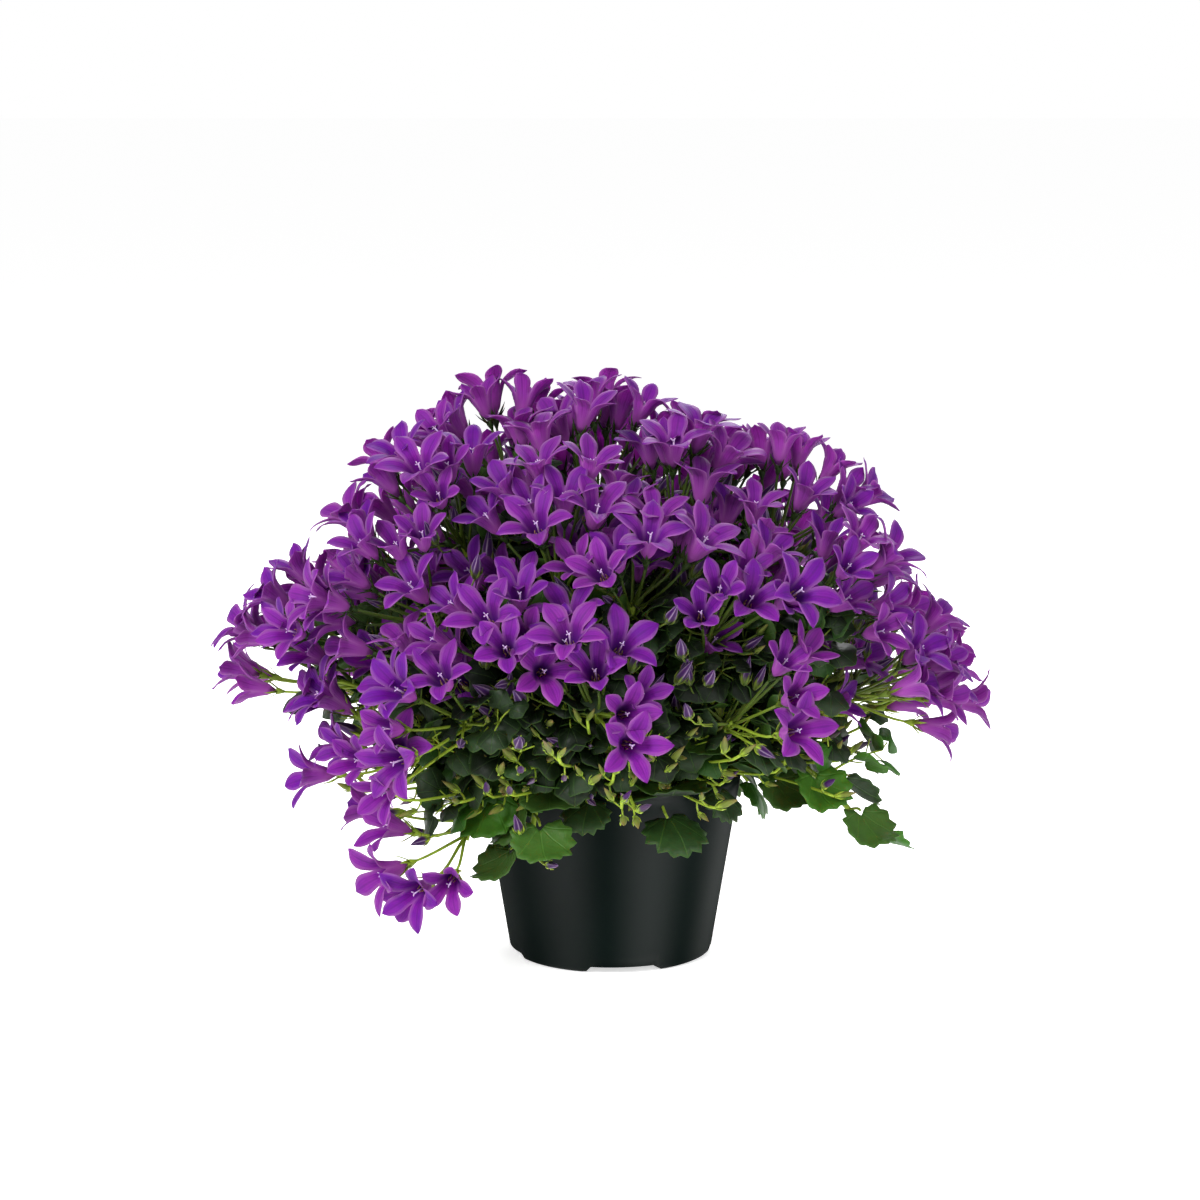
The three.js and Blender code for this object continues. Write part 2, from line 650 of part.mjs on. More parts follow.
// A bud on its pedicel, for each place on the stem that it may come from.
function budSolids(route, length, direction, reach) {
  const foot = route.fork.clone().addScaledVector(direction, reach);
  const facing = direction.clone().add(new THREE.Vector3(0, 0, BUD_UP_SHARE)).normalize();
  const belly = foot.clone().addScaledVector(facing, length * BUD_BELLY_SHARE);
  const rings = [
    { centre: foot, facing, radius: BUD_FOOT_RADIUS },
    { centre: belly, facing, radius: BUD_RADIUS * (length / BUD_LENGTH) },
  ];
  const point = foot.clone().addScaledVector(facing, length);
  return pedicelRoots(route).map((root) => solidOf(limbGeometry(root, rings, point)));
}

function placeBuds(route, sprayIndex, spray) {
  const green = `leafy_stem_${sprayIndex}`;
  for (let index = 0; index < spray.buds; index += 1) {
    const share = BUD_SHORTEST_SHARE + BUD_SHARE_RANGE * chance(sprayIndex, index, 4);
    const start = (index / spray.buds + chance(sprayIndex, index, 5)) * FULL_TURN;
    BUD_TRIALS.some((trial) => {
      const direction = fanned(route, start + trial.swing, trial.open);
      const best = cheapest(budSolids(route, BUD_LENGTH * share, direction, trial.reach), green);
      if (best === null || best.cost > BUD_COST_LIMIT) return false;
      add(green, best.solid);
      return true;
    });
  }
}

const LEAF_TRIALS = trials({
  swing: [0, 0.35, -0.35, 0.7, -0.7, 1.05, -1.05, 1.4, -1.4],
  droop: [-0.35, -0.05, -0.7, 0.3],
  lift: [0.35, 0.1, 0.65],
});

// The axes of a leaf's blade, with its stalk end a petiole's length from its place on the stem.
function leafFrame(route, slot, leaf, trial) {
  const petiole = heading(leaf.turn + trial.swing, trial.lift - leaf.hang);
  const base = stemPoint(route, slot.along).addScaledVector(petiole, slot.petiole);
  const tipTurn = leaf.turn + trial.swing * LEAF_TIP_TURN_SHARE;
  const tip = heading(tipTurn, trial.droop - leaf.hang);
  const across = flattened(heading(tipTurn + Math.PI / 2, leaf.tilt), tip);
  return new THREE.Matrix4().makeBasis(across, tip, across.clone().cross(tip)).setPosition(base);
}

function leafSlots(spray) {
  if (spray.blooms === 0) return TRAILING_LEAVES;
  return spray.rise < LOW_RISE ? LOW_LEAVES : HIGH_LEAVES;
}

function placeLeaves(route, sprayIndex, spray) {
  const green = `leafy_stem_${sprayIndex}`;
  const handed = sprayIndex % 2 === 0 ? 1 : -1;
  leafSlots(spray).slice(0, spray.leaves).forEach((slot, index) => {
    const size = slot.size * (LEAF_SHORTEST_SHARE + LEAF_SHARE_RANGE * chance(sprayIndex, index, 6));
    const aside = LEAF_SIDE_TURN * (1 + chance(sprayIndex, index, 7));
    const leaf = {
      turn: degrees(spray.turn) + slot.side * handed * aside,
      tilt: LEAF_TILT_RANGE * (chance(sprayIndex, index, 8) - 0.5),
      hang: spray.rise < 0 ? LEAF_HANG : 0,
    };
    LEAF_TRIALS.some((trial) => {
      const frame = leafFrame(route, slot, leaf, trial);
      const inverse = frame.clone().invert();
      const solids = ROOT_SHIFTS.map((shift) => {
        const root = stemPoint(route, slot.along + shift).applyMatrix4(inverse);
        return solidOf(leafGeometry(size, root).applyMatrix4(frame));
      });
      const best = cheapest(solids, green);
      if (best === null || best.cost > LEAF_COST_LIMIT) return false;
      add(green, best.solid);
      return true;
    });
  });
}

// All of one owner's solids joined into one body, without loose scraps.
function fused(owner) {
  const pieces = thrifty(bodies.get(owner)).decompose();
  return pieces.reduce((most, piece) => (piece.volume() > most.volume() ? piece : most));
}

const plant = new THREE.Group();

function addPiece(name, solid, finish) {
  const mesh = new THREE.Mesh(geometryOf(solid), finish);
  mesh.name = name;
  plant.add(mesh);
}

const routes = SPRAYS.map((spray) => stemRoute(spray));
const pot = thrifty(makePot());
const soil = thrifty(makeSoil(routes));
add('pot', pot);
add('soil', soil);
SPRAYS.forEach((spray, index) => add(`leafy_stem_${index}`, solidOf(stemGeometry(routes[index], 0))));
SPRAYS.forEach((spray, index) => placeBlooms(routes[index], index, spray));
SPRAYS.forEach((spray, index) => placeBuds(routes[index], index, spray));
SPRAYS.forEach((spray, index) => placeLeaves(routes[index], index, spray));

addPiece('pot', pot, POT_FINISH);
addPiece('soil', soil, SOIL_FINISH);
SPRAYS.forEach((spray, index) => {
  const label = String(index + 1).padStart(2, '0');
  addPiece(`leafy_stem_${label}`, fused(`leafy_stem_${index}`), GREEN_FINISH);
  if (spray.blooms > 0) addPiece(`blooms_${label}`, fused(`blooms_${index}`), VIOLET_FINISH);
});

export default plant;
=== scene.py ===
"""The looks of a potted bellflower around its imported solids.

The file is laid out as a Blender add-on and is run as a script. Lengths in the functions are
millimetres, in the frame of the solids: +Z up, -Y towards the viewer, the origin at the centre
of the pot's feet. A finished mesh is in metres.
"""
import math

import bpy
import numpy as np
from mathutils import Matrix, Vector
from mathutils.bvhtree import BVHTree


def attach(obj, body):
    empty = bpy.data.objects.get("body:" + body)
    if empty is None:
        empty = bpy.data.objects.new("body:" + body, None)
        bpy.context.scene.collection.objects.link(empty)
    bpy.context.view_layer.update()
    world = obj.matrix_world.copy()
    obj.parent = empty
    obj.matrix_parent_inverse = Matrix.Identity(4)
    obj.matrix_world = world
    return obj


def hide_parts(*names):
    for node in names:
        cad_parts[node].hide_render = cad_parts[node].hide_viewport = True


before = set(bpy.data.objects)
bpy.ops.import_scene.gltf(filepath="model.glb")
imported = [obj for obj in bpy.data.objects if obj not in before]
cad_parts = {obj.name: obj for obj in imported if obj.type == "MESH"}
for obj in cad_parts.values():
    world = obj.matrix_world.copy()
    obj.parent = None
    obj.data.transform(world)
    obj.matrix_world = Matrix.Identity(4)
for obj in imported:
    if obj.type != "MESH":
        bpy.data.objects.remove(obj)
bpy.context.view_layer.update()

bl_info = {
    "name": "Potted Bellflower",
    "version": (1, 0, 0),
    "blender": (4, 5, 0),
    "location": "View3D > Sidebar > Bellflower",
    "description": "Makes the petals, leaves, stems, buds, soil and pot of a potted bellflower",
    "category": "Add Mesh",
}

MM = 0.001
FIVE = 5
FULL_TURN = 2 * math.pi
UP = np.array([0.0, 0.0, 1.0])

# Measures of the solids
CROWN_HEIGHT = 80.0
CROWN_INNER_RADIUS = 7.0
CROWN_OUTER_RADIUS = 45.0
STEM_FOOT_HEIGHT = 85.0
STEM_DEPTH = 14.0
STEM_RADIUS = 1.5
STEM_TIP_RADIUS = 1.2
ARCH = 30.0
ARCH_LOWEST = -4.0
TRAILING_BEND = 2.0
HEAD_DEPTH = 52.0
PEDICEL_BACKS = (1.6, 3.5, 5.5, 7.5, 10.0, 12.5, 15.0)
NOTCH_RADIUS = 6.8
NOTCH_HEIGHT = 15.5
OPEN_TIP = (17.4, 18.6)
CLOSED_TIP = (13.5, 23.0)
BACK_SHARE = 0.33
LOBE_THICKNESS = 1.2
BLOOM_MIN = 0.84
BLOOM_MAX = 1.08
LEAF_MIDDLE = 0.3
LEAF_THICKNESS = 0.9
LEAF_NECK_RISE = 0.3
BUD_BELLY_SHARE = 0.45
BUD_SLENDERNESS = 2.3 / 12.0
RIM_RADIUS = 61.5
POT_HEIGHT = 90.0
HEEL_RADIUS = 47.3
HEEL_HEIGHT = 3.0
WALL = 1.6
FLOOR = 1.6
FOOT_HEIGHT = 2.0
FOOT_OUTER_RADIUS = 45.0
FOOT_INNER_RADIUS = 38.5
SOIL_EDGE_HEIGHT = 80.0
SOIL_MOUND = 3.5
CROWN = CROWN_HEIGHT * UP

# Turn from the front towards +X, rise above the level and reach, for each spray's stem
SPRAYS = np.array([
    (-98, 71, 196), (-140, 86, 185), (60, 75, 179), (-67, 58, 194), (-23, 59, 175),
    (8, 54, 169), (84, 56, 188), (34, 46, 168), (64, 40, 179), (-56, 42, 187),
    (-74, 30, 193), (-87, 21, 188), (-25, 38, 165), (-4, 29, 157), (-39, 23, 164),
    (-57, 12, 156), (-47, -9, 142), (36, 25, 153), (76, 22, 176), (128, 62, 174),
    (180, 62, 172), (-130, 55, 178), (107, 17, 184), (156, 40, 167), (-158, 36, 167),
    (-114, 30, 179), (130, 35, 170), (-142, 12, 165), (70, -7, 176), (-27, -12, 134),
], float)
SPRAY_NAMES = ["%02d" % (number + 1) for number in range(len(SPRAYS))]


# Vectors: the last axis holds x, y, z, and the others are any

def unit(vectors):
    """Each vector divided by its length."""
    return vectors / np.maximum(np.linalg.norm(vectors, axis=-1, keepdims=True), 1e-9)


def dot(first, second):
    """The sum of the products of two vectors' parts, kept as a last axis of one."""
    return np.sum(first * second, axis=-1, keepdims=True)


def flattened(vectors, lines):
    """The unit vectors nearest to some vectors that stand at right angles to lines."""
    return unit(vectors - dot(vectors, lines) * lines)


def heading(turn, rise):
    """The unit vector at a turn from the front and a rise above the level, in radians."""
    return np.stack([np.sin(turn) * np.cos(rise), -np.cos(turn) * np.cos(rise), np.sin(rise)], -1)


def cross_axes(directions):
    """Two unit vectors across each direction, the first as level as it can be."""
    level = np.cross(UP, directions)
    steep = np.linalg.norm(level, axis=-1, keepdims=True) < 1e-3
    level = unit(np.where(steep, np.array([1.0, 0.0, 0.0]), level))
    return level, unit(np.cross(directions, level))


def smoothstep(low, high, values):
    """0 below low, 1 above high, and 3t^2 - 2t^3 between."""
    share = np.clip((values - low) / (high - low), 0, 1)
    return share * share * (3 - 2 * share)


def mixed(low, high, share):
    """The value a share of the way from low to high."""
    return low + (high - low) * share


# Meshes

class Surface:
    """Corners, faces and per-corner numbers of one piece, gathered from like parts."""

    def __init__(self):
        self.corners, self.faces, self.numbers, self.slots, self.count = [], [], {}, [], 0

    def add(self, corners, faces, slot=0, **numbers):
        """Adds copies: corners is (copies, corners, 3), and faces lists arrays of corner numbers."""
        copies, each = corners.shape[:2]
        shifts = self.count + np.arange(copies)[:, None, None] * each
        self.corners.append(corners.reshape(-1, 3))
        for face in faces:
            self.faces.append((face[None] + shifts).reshape(-1, face.shape[1]))
            self.slots.append(np.full(len(self.faces[-1]), slot))
        for name, values in numbers.items():
            wide = np.broadcast_to(values, (copies, each)).reshape(-1)
            self.numbers.setdefault(name, []).append((self.count, wide))
        self.count += copies * each

    def tubes(self, paths, radii, sides, slot=0, flat=1.0, facing=None, **numbers):
        """Adds closed tubes. A number is given as it is, or as a function of the share along."""
        radii = np.broadcast_to(radii, paths.shape[:2])
        corners, faces, along = tube_parts(paths, radii, sides, flat, facing)
        given = {name: value(along[None]) if callable(value) else value for name, value in numbers.items()}
        self.add(corners, faces, slot, **given)

    def piece(self, name, materials):
        """Makes the Blender object, riding on the root body."""
        mesh = bpy.data.meshes.new(name)
        corners = np.concatenate(self.corners) * MM
        mesh.vertices.add(len(corners))
        mesh.vertices.foreach_set("co", corners.astype(np.float32).ravel())
        sizes = np.concatenate([np.full(len(face), face.shape[1]) for face in self.faces])
        mesh.loops.add(int(sizes.sum()))
        mesh.loops.foreach_set("vertex_index", np.concatenate([f.ravel() for f in self.faces]))
        mesh.polygons.add(len(sizes))
        starts = np.concatenate([[0], np.cumsum(sizes)[:-1]])
        mesh.polygons.foreach_set("loop_start", starts.astype(np.int32))
        mesh.polygons.foreach_set("material_index", np.concatenate(self.slots).astype(np.int32))
        mesh.polygons.foreach_set("use_smooth", np.ones(len(sizes), bool))
        mesh.update(calc_edges=True)
        for key, parts in self.numbers.items():
            values = np.zeros(self.count, np.float32)
            for start, wide in parts:
                values[start:start + len(wide)] = wide
            mesh.attributes.new(key, "FLOAT", "POINT").data.foreach_set("value", values)
        for material in materials:
            mesh.materials.append(material)
        thing = bpy.data.objects.new(name, mesh)
        bpy.context.scene.collection.objects.link(thing)
        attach(thing, "root")
        return thing


def strip_faces(rows, columns, closed):
    """Quads of a grid of rows and columns, whose last column meets the first if it is closed."""
    row, column = np.meshgrid(np.arange(rows - 1), np.arange(columns - (not closed)), indexing="ij")
    here = row * columns + column
    beside = row * columns + (column + 1) % columns
    return np.stack([here, beside, beside + columns, here + columns], -1).reshape(-1, 4)


def fan_faces(middle, ring, back=False):
    """Triangles from one corner to each pair of neighbours in a ring, turned round to look back."""
    after = np.roll(ring, -1)
    return np.stack([np.full(len(ring), middle), *((after, ring) if back else (ring, after))], -1)


def two_sided(corners, faces, thickness):
    """Closed blades from open sheets. Each corner moves half a thickness along its normal, which is
    the mean of the normals of the faces round it, and its twin the other way. The twins' faces are
    turned round, and strips join the two sides along the free edges. The last result is 0 for
    the first side's corners and 1 for the twins."""
    each = corners.shape[1]
    normals = np.zeros_like(corners)
    edges = []
    for face in faces:
        parts = corners[:, face]
        across = np.cross(parts[:, :, 2] - parts[:, :, 0], parts[:, :, -1] - parts[:, :, 1])
        for place in face.T:
            np.add.at(normals, (slice(None), place), across)
        edges.append(np.stack([face, np.roll(face, -1, axis=1)], -1).reshape(-1, 2))
    shift = unit(normals) * thickness / 2
    edges = np.concatenate(edges)
    free = ~np.isin(edges[:, 0] * each + edges[:, 1], edges[:, 1] * each + edges[:, 0])
    start, end = edges[free].T
    rim = np.stack([end, start, start + each, end + each], -1)
    sides = [side for face in faces for side in (face, face[:, ::-1] + each)]
    corners = np.concatenate([corners + shift, corners - shift], 1)
    return corners, sides + [rim], np.repeat([0, 1], each)


def tube_parts(paths, radii, sides, flat, facing):
    """Closed tubes along paths. A ring at each point of a path stands across it, its frame carried
    from ring to ring by taking away its part along the path; flat squeezes it one way, and facing
    is where the first frame points, if that is given. Each end is closed by a point. paths is
    (copies, points, 3) and radii (copies, points). The last result is the share along."""
    points = paths.shape[1]
    ahead = unit(np.gradient(paths, axis=1))
    side = cross_axes(ahead[:, 0])[0] if facing is None else flattened(facing, ahead[:, 0])
    angles = np.arange(sides) / sides * FULL_TURN
    rings = []
    for step in range(points):
        side = flattened(side, ahead[:, step])
        other = np.cross(ahead[:, step], side)
        turn = (side[:, None] * np.cos(angles)[:, None]
                + other[:, None] * np.sin(angles)[:, None] * flat)
        rings.append(paths[:, step, None] + turn * radii[:, step, None, None])
    corners = np.concatenate([np.concatenate(rings, 1), paths[:, :1], paths[:, -1:]], 1)
    last = points * sides
    ring = np.arange(sides)
    ends = [fan_faces(last, ring, back=True), fan_faces(last + 1, ring + last - sides)]
    along = np.concatenate([np.repeat(np.linspace(0, 1, points), sides), [0, 1]])
    return corners, [strip_faces(points, sides, True), *ends], along


def curve_points(start, start_pull, end, end_pull, count):
    """Points of a cubic curve through start and end with the given pulls at its two ends."""
    t = np.linspace(0, 1, count)[None, :, None]
    return ((2 * t**3 - 3 * t**2 + 1) * start[:, None] + (t**3 - 2 * t**2 + t) * start_pull[:, None]
            + (3 * t**2 - 2 * t**3) * end[:, None] + (t**3 - t**2) * end_pull[:, None])


def placed(shapes, feet, firsts, axes):
    """Shapes given along +Z, moved so that +Z lies on axes and +X on firsts, with their feet there."""
    seconds = np.cross(axes, firsts)
    return (feet[:, None] + shapes[..., :1] * firsts[:, None]
            + shapes[..., 1:2] * seconds[:, None] + shapes[..., 2:] * axes[:, None])


# Reading the solids

# Corners are one that are the same to this part of a millimetre
MERGE_PARTS = 200
# The foot of a bell: its edges, the cosine of how far they may lean, the rounds of the search, the
# tips and notches round its mouth, and the steps of openness that it is set against
FOOT_EDGES = 8
FOOT_SPREAD = 0.7
FOOT_ROUNDS = 4
RIM_POINTS = 2 * FIVE
OPENNESS_STEPS = 101
# The middle of a leaf's face has many edges, and its neck is as wide as the stalk
FACE_EDGES = 11
FACE_SLACK = 0.02
NECK_WIDTH = 1.5
NECK_SLACK = 0.03
# The point of a bud: its edges, how uneven they may be, and the length of the bud
POINT_EDGES = 3
BUD_SLACK = 0.1
BUD_SHORTEST = 8
BUD_LONGEST = 14


def node_mesh(node):
    """A node's corners without repeats, in millimetres, and its triangles."""
    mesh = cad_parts[node].data
    places = np.empty(len(mesh.vertices) * 3, np.float32)
    mesh.vertices.foreach_get("co", places)
    places = places.reshape(-1, 3) / MM
    mesh.calc_loop_triangles()
    triangles = np.empty(len(mesh.loop_triangles) * 3, np.int32)
    mesh.loop_triangles.foreach_get("vertices", triangles)
    keys = np.round(places * MERGE_PARTS).astype(np.int64)
    _, first, back = np.unique(keys, axis=0, return_index=True, return_inverse=True)
    return places[first].astype(float), back.reshape(-1)[triangles].reshape(-1, 3)


def neighbours(triangles):
    """For each corner number, the corners that share an edge with it."""
    edges = np.concatenate([triangles[:, [0, 1]], triangles[:, [1, 2]], triangles[:, [2, 0]]])
    edges = np.unique(np.sort(edges, 1), axis=0)
    both = np.concatenate([edges, edges[:, ::-1]])
    both = both[np.argsort(both[:, 0], kind="stable")]
    values, starts = np.unique(both[:, 0], return_index=True)
    return dict(zip(values.tolist(), np.split(both[:, 1], starts[1:])))


def lobe_tip(openness):
    """Radius and height of a lobe's tip, from a closed bell's to an open one's."""
    return [mixed(closed, opened, openness) for closed, opened in zip(CLOSED_TIP, OPEN_TIP)]


def back_angle(openness):
    """The angle at the foot between a solid bell's axis and the back of a lobe, as the solids
    give it: a point a third of the way from the notches' line to the tip, a lobe's thickness
    below the lobe."""
    radius, height = lobe_tip(openness)
    inner = NOTCH_RADIUS * math.cos(math.pi / FIVE)
    slope = np.arctan2(height - NOTCH_HEIGHT, radius - inner)
    out = mixed(inner, radius, BACK_SHARE) + LOBE_THICKNESS * np.sin(slope)
    up = mixed(NOTCH_HEIGHT, height, BACK_SHARE) - LOBE_THICKNESS * np.cos(slope)
    return np.arctan2(out, up)


def read_bell(offsets):
    """Axis, lobe direction and openness of the bell whose foot has these edges, or None. Five edges
    lead to lobes and five to notches, at even turns; the axis is the mean of those ten."""
    ways = unit(offsets)
    axis = unit(ways.mean(0))
    if len(ways) < FOOT_EDGES or (ways @ axis).min() < FOOT_SPREAD:
        return None
    for _ in range(FOOT_ROUNDS):
        first, second = cross_axes(axis)
        turns = np.arctan2(ways @ second, ways @ first)
        tilts = np.arccos(np.clip(ways @ axis, -1, 1))
        tenths = turns * RIM_POINTS / FULL_TURN
        roll = np.angle(np.exp(1j * tenths * FULL_TURN).sum()) / FULL_TURN
        picks = [np.argmin(np.abs((tenths - roll - k + FIVE) % RIM_POINTS - FIVE))
                 for k in range(RIM_POINTS)]
        axis = unit(ways[picks].mean(0))
    even, odd = tilts[picks[0::2]].mean(), tilts[picks[1::2]].mean()
    turn = (roll + (0 if even > odd else 1)) * FULL_TURN / RIM_POINTS
    grid = np.linspace(0, 1, OPENNESS_STEPS)
    openness = float(np.interp(max(even, odd), back_angle(grid), grid))
    return axis, flattened(first * math.cos(turn) + second * math.sin(turn), axis), openness


def read_blooms():
    """Feet, axes, lobe directions, opennesses and spray numbers of all bells."""
    found = []
    for spray, name in enumerate(SPRAY_NAMES):
        if "blooms_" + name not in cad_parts:
            continue
        corners, triangles = node_mesh("blooms_" + name)
        for corner, others in neighbours(triangles).items():
            bell = len(others) >= FOOT_EDGES and read_bell(corners[others] - corners[corner])
            if bell:
                found.append((corners[corner], *bell, spray))
    return [np.array(part) for part in zip(*found)]


def read_leaves_and_buds():
    """Leaves as (base, tip direction, normal, size, spray) and buds as (foot, axis, length, spray)."""
    leaves, buds = [], []
    for spray, name in enumerate(SPRAY_NAMES):
        corners, triangles = node_mesh("leafy_stem_" + name)
        near = neighbours(triangles)
        hubs = [corner for corner, others in near.items() if len(others) >= FACE_EDGES]
        for above in hubs:
            below = [b for b in hubs if b != above
                     and abs(np.linalg.norm(corners[b] - corners[above]) - LEAF_THICKNESS) < FACE_SLACK]
            if below and len(near[above]) < len(near[below[0]]):
                leaf = read_leaf(corners, corners[above], corners[below[0]], near[above])
                if leaf:
                    leaves.append((*leaf, spray))
        for corner, others in near.items():
            bud = len(others) == POINT_EDGES and read_bud(corners[corner], corners[others])
            if bud:
                buds.append((*bud, spray))
    return [[np.array(part) for part in zip(*found)] for found in (leaves, buds)]


def read_leaf(corners, above, below, around):
    """Base, tip direction, normal and size of a solid leaf, from the middles of its two faces and
    the corners round them. Its neck is the pair of those that is a stalk's width apart."""
    normal = unit(above - below)
    rim = corners[around]
    gaps = np.linalg.norm(rim[:, None] - rim[None], axis=-1)
    apart = np.abs(gaps - NECK_WIDTH)
    first, second = np.unravel_index(np.argmin(apart), apart.shape)
    if apart[first, second] > NECK_SLACK:
        return None
    base = (rim[first] + rim[second]) / 2 - normal * LEAF_NECK_RISE
    out = below - base
    tip = flattened(out, normal)
    return base, tip, normal, float(out @ tip) / LEAF_MIDDLE


def read_bud(point, ring):
    """Foot, axis and length of a solid bud, from its point and the three corners of its belly."""
    lengths = np.linalg.norm(ring - point, axis=1)
    sides = np.linalg.norm(ring - np.roll(ring, 1, axis=0), axis=1)
    length = lengths.mean() / math.hypot(1 - BUD_BELLY_SHARE, BUD_SLENDERNESS)
    even = max(np.ptp(lengths), np.ptp(sides)) < BUD_SLACK
    true = abs(sides.mean() - math.sqrt(3) * BUD_SLENDERNESS * length) < BUD_SLACK
    if not (even and true and BUD_SHORTEST < length < BUD_LONGEST):
        return None
    axis = unit(point - ring.mean(0))
    return point - axis * length, axis, length


# Stems

# Points that measure a stem's length
STEM_SAMPLES = 33
# Checked shares of a straight line to a part's end, and the shares of a stem that bear leaves
PEDICEL_CHECKS = np.linspace(0.3, 0.85, 5)[:, None]
STALK_CHECKS = np.linspace(0.15, 0.8, 5)[:, None]
STALK_PLACES = np.linspace(0.05, 0.98, 48)


def stem_curves():
    """Roots, control points, forks and axes of the stems: each rises from the soil and bows to its
    fork, as a curve of second degree."""
    turn, rise = np.radians(SPRAYS[:, 0]), np.radians(SPRAYS[:, 1])
    axes = heading(turn, rise)
    spread = 1 - np.maximum(SPRAYS[:, 1], 0) / 90
    radii = mixed(CROWN_INNER_RADIUS, CROWN_OUTER_RADIUS, spread)
    roots = heading(turn, np.zeros_like(turn)) * radii[:, None]
    roots[:, 2] = STEM_FOOT_HEIGHT
    forks = axes * (SPRAYS[:, 2:] - HEAD_DEPTH) + CROWN
    bows = (roots + forks) / 2
    bend = np.where(SPRAYS[:, 1] < 0, TRAILING_BEND * SPRAYS[:, 1], SPRAYS[:, 1])
    bows[:, 2] += np.maximum(ARCH_LOWEST, ARCH - bend)
    return roots, bows, forks, axes


STEM_ROOTS, STEM_BOWS, STEM_FORKS, STEM_AXES = stem_curves()


def stem_places(sprays, along):
    """Points of stems a share of the way from the soil to the fork."""
    t = np.asarray(along, float)[..., None]
    return ((1 - t)**2 * STEM_ROOTS[sprays] + 2 * t * (1 - t) * STEM_BOWS[sprays]
            + t**2 * STEM_FORKS[sprays])


def stem_ways(sprays, along):
    """Unit directions of stems at those points."""
    t = np.asarray(along, float)[..., None]
    return unit(2 * (1 - t) * (STEM_BOWS[sprays] - STEM_ROOTS[sprays])
                + 2 * t * (STEM_FORKS[sprays] - STEM_BOWS[sprays]))


def one_stem(spray, along):
    """Points of one stem at several shares of it."""
    return stem_places(np.full(len(along), spray), along)


STEM_LENGTHS = np.array([
    np.linalg.norm(np.diff(one_stem(spray, np.linspace(0, 1, STEM_SAMPLES)), axis=0), axis=1).sum()
    for spray in range(len(SPRAYS))
])


def nearest_roots(ends, sprays, places_of, checks):
    """Where on its stem each pedicel or stalk starts: of some places along the stem, the one from
    which a straight line to the end, checked at some shares, stays nearest to the solid."""
    roots = np.empty_like(ends)
    for spray in np.unique(sprays):
        corners, triangles = node_mesh("leafy_stem_" + SPRAY_NAMES[spray])
        tree = BVHTree.FromPolygons(corners.tolist(), triangles.tolist())
        starts = one_stem(spray, places_of(spray))
        for index in np.nonzero(sprays == spray)[0]:
            strays = [sum(tree.find_nearest(Vector(p))[3] for p in start + (ends[index] - start) * checks)
                      for start in starts]
            roots[index] = starts[int(np.argmin(strays))]
    return roots


def pedicel_roots(ends, sprays):
    """The points near the fork that the solids' pedicels start from."""
    backs = np.array(PEDICEL_BACKS)
    return nearest_roots(ends, sprays, lambda spray: 1 - backs / STEM_LENGTHS[spray], PEDICEL_CHECKS)


def stalk_roots(bases, sprays):
    """The points of their stems that the solids' leaf stalks start from."""
    return nearest_roots(bases, sprays, lambda spray: STALK_PLACES, STALK_CHECKS)


# Shader maths

class Signal:
    """A socket that Python's operators work on. Each operator adds one Math node."""

    def __init__(self, finish, socket):
        self.finish = finish
        self.socket = socket

    def math(self, operation, *values):
        return self.finish.node("ShaderNodeMath", {"operation": operation}, *values)

    def __add__(self, other):
        return self.math("ADD", self, other)

    def __sub__(self, other):
        return self.math("SUBTRACT", self, other)

    def __rsub__(self, other):
        return self.math("SUBTRACT", other, self)

    def __mul__(self, other):
        return self.math("MULTIPLY", self, other)

    def __pow__(self, other):
        return self.math("POWER", self, other)

    __radd__ = __add__
    __rmul__ = __mul__

    def sine(self):
        return self.math("SINE", self)

    def size(self):
        return self.math("ABSOLUTE", self)

    def fraction(self):
        return self.math("FRACT", self)

    def smooth(self, low, high):
        """0 below low, 1 above high and smooth between."""
        settings = {"interpolation_type": "SMOOTHSTEP"}
        values = {"Value": self, "From Min": low, "From Max": high}
        return self.finish.node("ShaderNodeMapRange", settings, **values)


